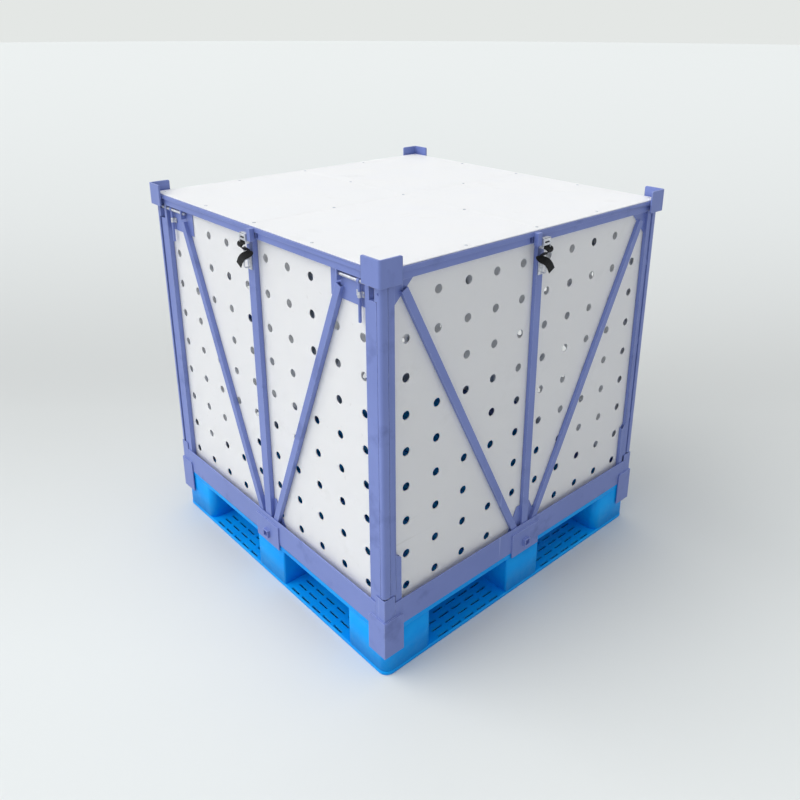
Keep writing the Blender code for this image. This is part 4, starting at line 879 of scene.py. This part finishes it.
# %% Tree of the rivets
def rivet_tree():
    tree, size = start_tree("rivets", Reach=1.0, Count=5, HeadRadius=0.005, HeadHeight=0.0016)
    grid = add_node(tree, "GeometryNodeMeshGrid", {
        "Size X": size["Reach"], "Size Y": size["Reach"],
        "Vertices X": size["Count"], "Vertices Y": size["Count"]}).outputs["Mesh"]
    position = add_node(tree, "GeometryNodeInputPosition").outputs["Position"]
    place = add_node(tree, "ShaderNodeSeparateXYZ", {0: position})
    quarter = maths(tree, "DIVIDE", size["Reach"], 4.0)
    on_quarter = [add_node(tree, "ShaderNodeMath", {
        0: add_node(tree, "ShaderNodeMath", {0: place.outputs[axis]}, operation="ABSOLUTE").outputs["Value"],
        1: quarter, 2: 0.001}, operation="COMPARE").outputs["Value"] for axis in ("X", "Y")]
    nowhere = maths(tree, "MULTIPLY", *on_quarter)
    points = add_node(tree, "GeometryNodeDeleteGeometry", {"Geometry": grid, "Selection": nowhere},
                      domain="POINT")
    dome = add_node(tree, "GeometryNodeMeshUVSphere", {
        "Segments": 14, "Rings": 8, "Radius": size["HeadRadius"]})
    squash = triple(tree, 0.8, 0.8, maths(tree, "DIVIDE", size["HeadHeight"], size["HeadRadius"]))
    dome = shifted(tree, dome.outputs["Mesh"], triple(tree), scale=squash)
    flange = add_node(tree, "GeometryNodeMeshCylinder", {
        "Vertices": 20, "Radius": size["HeadRadius"],
        "Depth": maths(tree, "MULTIPLY", size["HeadHeight"], 0.5)})
    head = together(tree, dome, flange.outputs["Mesh"])
    heads = add_node(tree, "GeometryNodeInstanceOnPoints", {
        "Points": points.outputs["Geometry"], "Instance": head}).outputs["Instances"]
    end_tree(tree, size, heads)
    return tree


RIVET_INSET = 0.020
lid_sheet_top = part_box("lid_sheet_front_left")[1].z
lid_sheet_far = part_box("lid_sheet_back_right")[1].x
rivets = grow(rivet_tree(), ZINC_FINISH, Reach=2 * (lid_sheet_far - RIVET_INSET))
rivets.transform(Matrix.Translation((0, 0, lid_sheet_top)))
finished("lid_rivets", rivets, ZINC_FINISH, "lid")
for end in ("front", "back"):
    for hand in ("left", "right"):
        name = f"lid_sheet_{end}_{hand}"
        round_edges(finished(name + "_white", welded_copy(name), SHEET_FINISH, "lid", name), 0.0008)
print("rivet faces:", len(rivets.polygons))

# %% [markdown]
# ## Weld beads
# The frame is welded, and the beads catch the light as thin wavy lines. The tree walks along a line and
# puts a small ball of weld at every step. The balls differ a little in size and overlap, as a welder's
# ripples do, and they sink halfway into the steel.

# %% Tree of a weld bead
def weld_tree():
    tree, size = start_tree("weld_bead", Radius=0.0022, Step=0.0024, Unevenness=0.35, Seed=3)
    line = add_node(tree, "GeometryNodeMeshToCurve", {"Mesh": size["Geometry"]}).outputs["Curve"]
    steps = add_node(tree, "GeometryNodeResampleCurve", {"Curve": line, "Length": size["Step"]},
                     mode="LENGTH")
    drop = add_node(tree, "GeometryNodeMeshIcoSphere", {"Radius": size["Radius"], "Subdivisions": 2})
    least = maths(tree, "SUBTRACT", 1.0, size["Unevenness"])
    amount = add_node(tree, "FunctionNodeRandomValue", {"Min": least, "Max": 1.0, "Seed": size["Seed"]})
    chosen = next(socket for socket in amount.outputs if socket.enabled)
    drops = add_node(tree, "GeometryNodeInstanceOnPoints", {
        "Points": steps.outputs["Curve"], "Instance": drop.outputs["Mesh"], "Scale": chosen})
    end_tree(tree, size, drops.outputs["Instances"])
    return tree


WELD_TREE = weld_tree()

# %% Lay the beads
FOOT_TOP, FOOT_FACE, FOOT_REACH = 0.1865, 0.5523, 0.0560
MIDDLE_PLATE_TOP, MIDDLE_PLATE_FACE, MIDDLE_PLATE_HALF = 0.2120, 0.5522, 0.0560
BRACKET_WELD_Z, BRACKET_WELD_FACE, BRACKET_WELD_AT = 1.1280, 0.5532, 0.4990
BRACKET_WELD_HALF = 0.004
CORNER_OUTER, CORNER_END = 0.552, 0.550
BASE_BEAD, LID_BEAD = 0.0020, 0.0026
BEAD_STEP = 1.1

def line_mesh(lines):
    mesh = bpy.data.meshes.new("weld_lines")
    places = [place for line in lines for place in line]
    edges = [(2 * index, 2 * index + 1) for index in range(len(lines))]
    mesh.from_pydata(places, edges, [])
    return mesh


def laid(name, body, lines, radius, seed):
    """Beads along straight lines given as pairs of places."""
    mesh = grow(WELD_TREE, PAINT_FINISH, line_mesh(lines), Radius=radius, Step=radius * BEAD_STEP,
                Seed=seed)
    return finished(name, mesh, PAINT_FINISH, body)


def on_side(side, u, out, z):
    return side_turn(side) @ Vector((u, -out, z))


base_lines, lid_lines = [], []
for side in QUARTERS:
    for sign in (-1, 1):
        base_lines.append([on_side(side, sign * u, FOOT_FACE, FOOT_TOP)
                           for u in (CORNER_OUTER - FOOT_REACH, CORNER_END)])
        lid_lines.append([on_side(side, sign * BRACKET_WELD_AT, BRACKET_WELD_FACE, z)
                          for z in (BRACKET_WELD_Z - BRACKET_WELD_HALF, BRACKET_WELD_Z + BRACKET_WELD_HALF)])
    base_lines.append([on_side(side, u, MIDDLE_PLATE_FACE, MIDDLE_PLATE_TOP)
                       for u in (-MIDDLE_PLATE_HALF, MIDDLE_PLATE_HALF)])
laid("base_welds", "base", base_lines, BASE_BEAD, 3)
laid("lid_welds", "lid", lid_lines, LID_BEAD, 5)
print("weld lines:", len(base_lines), len(lid_lines))

# %% [markdown]
# ## Bolts, handles and clips
# The slide bolts and the hanging handles are round bars, so they are turned again with more sides than
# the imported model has. A handle has a hub that the bolt passes through. Its clip is a strip of sheet
# bent round the bar, held by a rivet in each ear.

# %% Turn the bolts and handles
BOLT_RADIUS, HANDLE_RADIUS, HUB_RADIUS, HUB_WIDTH = 0.0045, 0.0040, 0.0070, 0.010
BORE_CLEARANCE = 0.0006
HANDLE_AT, HANDLE_DROP = 0.466, 0.102
ROUND_SIDES = 28
SHARP_FROM = math.radians(40)
CHAMFER = 0.0012

def turned_bar(profile, bore=None):
    """A bar round the Z axis from (radius, height) steps, solid or round a bore."""
    bm = bmesh.new()
    inner = [(bore, profile[-1][1]), (bore, profile[0][1])] if bore else []
    rings = []
    for radius, height in list(profile) + inner:
        rings.append([bm.verts.new((radius * math.cos(math.tau * step / ROUND_SIDES),
                                    radius * math.sin(math.tau * step / ROUND_SIDES), height))
                      for step in range(ROUND_SIDES)])
    pairs = list(zip(rings, rings[1:])) + ([(rings[-1], rings[0])] if bore else [])
    for low, high in pairs:
        for step in range(ROUND_SIDES):
            after = (step + 1) % ROUND_SIDES
            bm.faces.new((low[step], low[after], high[after], high[step]))
    if not bore:
        bm.faces.new(reversed(rings[0]))
        bm.faces.new(rings[-1])
    bmesh.ops.recalc_face_normals(bm, faces=bm.faces)
    mesh = bpy.data.meshes.new("turned_bar")
    bm.to_mesh(mesh)
    bm.free()
    return mesh


def chamfered(radius, low, high, chamfer=CHAMFER):
    return [(radius - chamfer, low), (radius, low + chamfer),
            (radius, high - chamfer), (radius - chamfer, high)]


LIE_ALONG_U = Matrix.Rotation(math.pi / 2, 4, "Y")

def bolt_axis(side, hand):
    """The middle of a latched wall's bolt, in the front wall's own frame."""
    low, high = wall_box(f"{side}_bolt_{hand}", side)
    return (low + high) / 2, high.x - low.x


for side in ("front", "back"):
    for hand, sign in (("left", -1), ("right", 1)):
        middle, length = bolt_axis(side, hand)
        rod = turned_bar(chamfered(BOLT_RADIUS, -length / 2, length / 2))
        rod.transform(side_turn(side) @ Matrix.Translation(middle) @ LIE_ALONG_U)
        bolt_node, handle_node = f"{side}_bolt_{hand}", f"{side}_handle_{hand}"
        bolt = finished(bolt_node + "_turned", rod, ZINC_FINISH, bolt_node, bolt_node)
        axis = Vector((sign * HANDLE_AT, middle.y, middle.z))
        hub = turned_bar(chamfered(HUB_RADIUS, -HUB_WIDTH / 2, HUB_WIDTH / 2), BOLT_RADIUS + BORE_CLEARANCE)
        hub.transform(Matrix.Translation(axis) @ LIE_ALONG_U)
        bar = turned_bar(chamfered(HANDLE_RADIUS, -HANDLE_DROP, -BOLT_RADIUS - BORE_CLEARANCE * 2))
        bar.transform(Matrix.Translation(axis))
        whole = merged([hub, bar])
        whole.transform(side_turn(side))
        handle = finished(handle_node + "_turned", whole, PAINT_FINISH, handle_node, handle_node)
        for piece in (bolt, handle):
            piece.data.set_sharp_from_angle(angle=SHARP_FROM)

# %% Rivet the clips
CLIP_RIVET_RADIUS, CLIP_RIVET_HEIGHT = 0.0022, 0.0012
CLIP_RIVET_INNER, CLIP_RIVET_OUTER = -0.0125, 0.0088

for side in ("front", "back"):
    for hand, sign in (("left", -1), ("right", 1)):
        node = f"{side}_clip_{hand}"
        low, high = wall_box(node, side)
        ear_face = high.y - 0.001
        heads = []
        for across in (CLIP_RIVET_INNER, CLIP_RIVET_OUTER):
            head = turned_bar([(CLIP_RIVET_RADIUS, 0.0), (CLIP_RIVET_RADIUS * 0.86, CLIP_RIVET_HEIGHT * 0.6),
                               (CLIP_RIVET_RADIUS * 0.45, CLIP_RIVET_HEIGHT)])
            place = Vector((sign * (HANDLE_AT + across), ear_face, (low.z + high.z) / 2))
            head.transform(Matrix.Translation(place) @ Matrix.Rotation(math.pi / 2, 4, "X"))
            heads.append(head)
        rivets = merged(heads)
        rivets.transform(side_turn(side))
        finished(node + "_rivets", rivets, PAINT_FINISH, BODY_OF[node])

# %% [markdown]
# ## Clips, staples and buckles
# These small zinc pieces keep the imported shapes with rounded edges. A buckle's lever gets its real
# form: a plate with a window, so that the webbing shows, and a rolled upper edge for the finger. A hood
# of bent strip closes the buckle over its pin.

# %% Round the zinc pieces
ZINC_EDGE = 0.0004

for name in sorted(frame["nodes"]):
    buckle = name.startswith("buckle_") and "lever" not in name
    if buckle or "clip" in name or name.startswith("strap_staple"):
        zinc = finished(name + "_zinc", welded_copy(name), ZINC_FINISH, BODY_OF[name], name)
        round_edges(zinc, ZINC_EDGE)

# %% Cut the levers' windows
LEVER_SHEET, LEVER_ROLL = 0.0016, 0.0021
LEVER_FRAME = 0.0042
CAM_RADIUS = 0.0035

def lever_plate_tree():
    tree, size = start_tree("lever_plate", Width=0.026, Height=0.015, Frame=0.004, Thickness=0.0016,
                            Round=0.0015)
    outer = add_node(tree, "GeometryNodeCurvePrimitiveQuadrilateral",
                     {"Width": size["Width"], "Height": size["Height"]}).outputs["Curve"]
    twice = maths(tree, "MULTIPLY", size["Frame"], 2.0)
    window = add_node(tree, "GeometryNodeCurvePrimitiveQuadrilateral", {
        "Width": maths(tree, "SUBTRACT", size["Width"], twice),
        "Height": maths(tree, "SUBTRACT", size["Height"], twice)}).outputs["Curve"]
    window = add_node(tree, "GeometryNodeFilletCurve", {"Curve": window, "Radius": size["Round"], "Count": 3},
                      mode="POLY").outputs["Curve"]
    end_tree(tree, size, thick_plate(tree, together(tree, outer, window), size["Thickness"]))
    return tree


LEVER_TREE = lever_plate_tree()
for side in QUARTERS:
    node = "buckle_lever_" + side
    low, high = wall_box(node, side)
    plate_low, plate_top = low.z + CAM_RADIUS, high.z - LEVER_ROLL
    width = high.x - low.x - 0.003
    middle = Vector(((low.x + high.x) / 2, low.y, (plate_low + plate_top) / 2))
    plate = grow(LEVER_TREE, ZINC_FINISH, Width=width, Height=plate_top - plate_low, Frame=LEVER_FRAME,
                 Thickness=LEVER_SHEET)
    plate.transform(Matrix.Translation(middle + Vector((0, LEVER_SHEET, 0))) @ STAND_UP)
    roll = turned_bar(chamfered(LEVER_ROLL, -width / 2, width / 2, 0.0005))
    roll.transform(Matrix.Translation((middle.x, low.y + LEVER_ROLL, plate_top)) @ LIE_ALONG_U)
    cam = turned_bar(chamfered(CAM_RADIUS, -width / 2, width / 2, 0.0005))
    cam.transform(Matrix.Translation((middle.x, low.y + CAM_RADIUS, low.z + CAM_RADIUS)) @ LIE_ALONG_U)
    lever = merged([plate, roll, cam])
    lever.transform(side_turn(side))
    finished(node + "_windowed", lever, ZINC_FINISH, BODY_OF[node], node)
    bpy.data.objects[node + "_windowed"].data.set_sharp_from_angle(angle=SHARP_FROM)

# %% Bend the buckles' hoods
HOOD_RADIUS, HOOD_SHEET = 0.0052, 0.0011
HOOD_FROM, HOOD_TO = 40, 190
HANDS = {"front": 1, "right": -1, "back": 1, "left": -1}
BUCKLE_MIDDLE = 0.0038
PIN_OUT, PIN_Z = 0.563, 1.112

def bent_strip(width, radius, sheet, first, last):
    """A strip bent round the X axis, from one angle to another."""
    bm = bmesh.new()
    rings = []
    for step in range(17):
        angle = math.radians(first + (last - first) * step / 16)
        rings.append([bm.verts.new((x, -r * math.cos(angle), r * math.sin(angle)))
                      for x, r in ((-width / 2, radius), (width / 2, radius), (width / 2, radius - sheet),
                                   (-width / 2, radius - sheet))])
    for near, far in zip(rings, rings[1:]):
        for corner in range(4):
            bm.faces.new((near[corner], near[(corner + 1) % 4], far[(corner + 1) % 4], far[corner]))
    bm.faces.new(rings[0])
    bm.faces.new(rings[-1])
    bmesh.ops.recalc_face_normals(bm, faces=bm.faces)
    mesh = bpy.data.meshes.new("bent_strip")
    bm.to_mesh(mesh)
    bm.free()
    return mesh


for side, hand in HANDS.items():
    low, high = wall_box("buckle_" + side, side)
    hood = bent_strip(min(high.x - low.x, 0.030) - 0.0004, HOOD_RADIUS, HOOD_SHEET, HOOD_FROM, HOOD_TO)
    hood.transform(side_turn(side) @ Matrix.Translation((hand * BUCKLE_MIDDLE, -PIN_OUT, PIN_Z)))
    piece = finished(f"buckle_{side}_hood", hood, ZINC_FINISH, "buckle_" + side)
    piece.data.set_sharp_from_angle(angle=SHARP_FROM)

# %% [markdown]
# ## Straps
# Each buckle holds a length of black webbing that hangs slack. It bulges out below the buckle, swings
# in to the post and ends in a loose tail that leans to the side. A smooth curve through a few places
# gives the route, and a flat section is swept along it, leaning as the strap twists. The UV map runs
# across the strap and along it in metres, so the weave follows every bend.

# %% Sweep the straps
STRAP_WIDTH, STRAP_THICKNESS = 0.025, 0.0018
STRAP_STEPS = 8
STRAP_ROUTE = (
    (0.000, -0.0005, 0.0080, 0),
    (0.000, 0.0005, 0.0180, 0),
    (-0.006, 0.0075, 0.0240, -3),
    (-0.011, 0.0110, 0.0290, -6),
    (-0.006, 0.0070, 0.0360, -10),
    (0.004, -0.0030, 0.0420, -14),
    (0.009, -0.0082, 0.0475, -17),
    (0.006, -0.0030, 0.0540, -20),
    (-0.004, 0.0065, 0.0610, -22),
    (-0.013, 0.0105, 0.0720, -22),
    (-0.022, 0.0115, 0.0880, -22),
)

def smooth_route(points, steps):
    """A Catmull-Rom curve through the points."""
    ends = [2 * points[0] - points[1]] + points + [2 * points[-1] - points[-2]]
    route = []
    for a, b, c, d in zip(ends, ends[1:], ends[2:], ends[3:]):
        for step in range(steps):
            t = step / steps
            route.append(0.5 * (2 * b + (c - a) * t + (2 * a - 5 * b + 4 * c - d) * t * t
                                + (3 * b - a - 3 * c + d) * t ** 3))
    return route + [points[-1]]


def ribbon(route, width, thickness):
    """A flat band along places and leans, with a UV map across and along it."""
    bm = bmesh.new()
    layer = bm.loops.layers.uv.new("strap")
    rings, lengths, run = [], [], 0.0
    section = [(-0.5, -0.5), (0.0, -0.5), (0.5, -0.5), (0.5, 0.5), (0.0, 0.5), (-0.5, 0.5)]
    places = [point.xyz for point in route]
    for index, place in enumerate(places):
        before, after = places[max(index - 1, 0)], places[min(index + 1, len(places) - 1)]
        along = (after - before).normalized()
        level = Vector((math.cos(route[index].w), 0, math.sin(route[index].w)))
        across = (level - along * along.dot(level)).normalized()
        normal = along.cross(across).normalized()
        rings.append([bm.verts.new(place + across * u * width + normal * v * thickness) for u, v in section])
        run += (place - places[index - 1]).length if index else 0.0
        lengths.append(run)
    count = len(section)
    for index in range(len(rings) - 1):
        for side in range(count):
            other = (side + 1) % count
            face = bm.faces.new((rings[index][side], rings[index][other],
                                 rings[index + 1][other], rings[index + 1][side]))
            spots = ((side, index), (other, index), (other, index + 1), (side, index + 1))
            for loop, (corner, row) in zip(face.loops, spots):
                loop[layer].uv = (section[corner][0] + 0.5, lengths[row])
    bm.faces.new(rings[0])
    bm.faces.new(rings[-1])
    bmesh.ops.recalc_face_normals(bm, faces=bm.faces)
    mesh = bpy.data.meshes.new("ribbon")
    bm.to_mesh(mesh)
    bm.free()
    return mesh, run


for side, hand in HANDS.items():
    places = [Vector((hand * (BUCKLE_MIDDLE + across), -(PIN_OUT + out), PIN_Z - down,
                      hand * math.radians(lean))) for across, out, down, lean in STRAP_ROUTE]
    mesh, length = ribbon(smooth_route(places, STRAP_STEPS), STRAP_WIDTH, STRAP_THICKNESS)
    mesh.transform(side_turn(side))
    strap = finished(f"strap_{side}_webbing", mesh, WEBBING_FINISH, "buckle_" + side, "strap_" + side)
    round_edges(strap, 0.0005, 1)
print("strap length: %.0f mm" % (length * 1000))

# %% [markdown]
# ## The size
# The dressed container has to stay as large as the imported one. Both boxes are printed side by side.

# %% Print both boxes
SHOWN_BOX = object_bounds()
for axis, low, high, cad_low, cad_high in zip("xyz", *SHOWN_BOX, *CAD_BOX):
    print("%s shown %.4f to %.4f, packed %.4f to %.4f" % (axis, low, high, cad_low, cad_high))
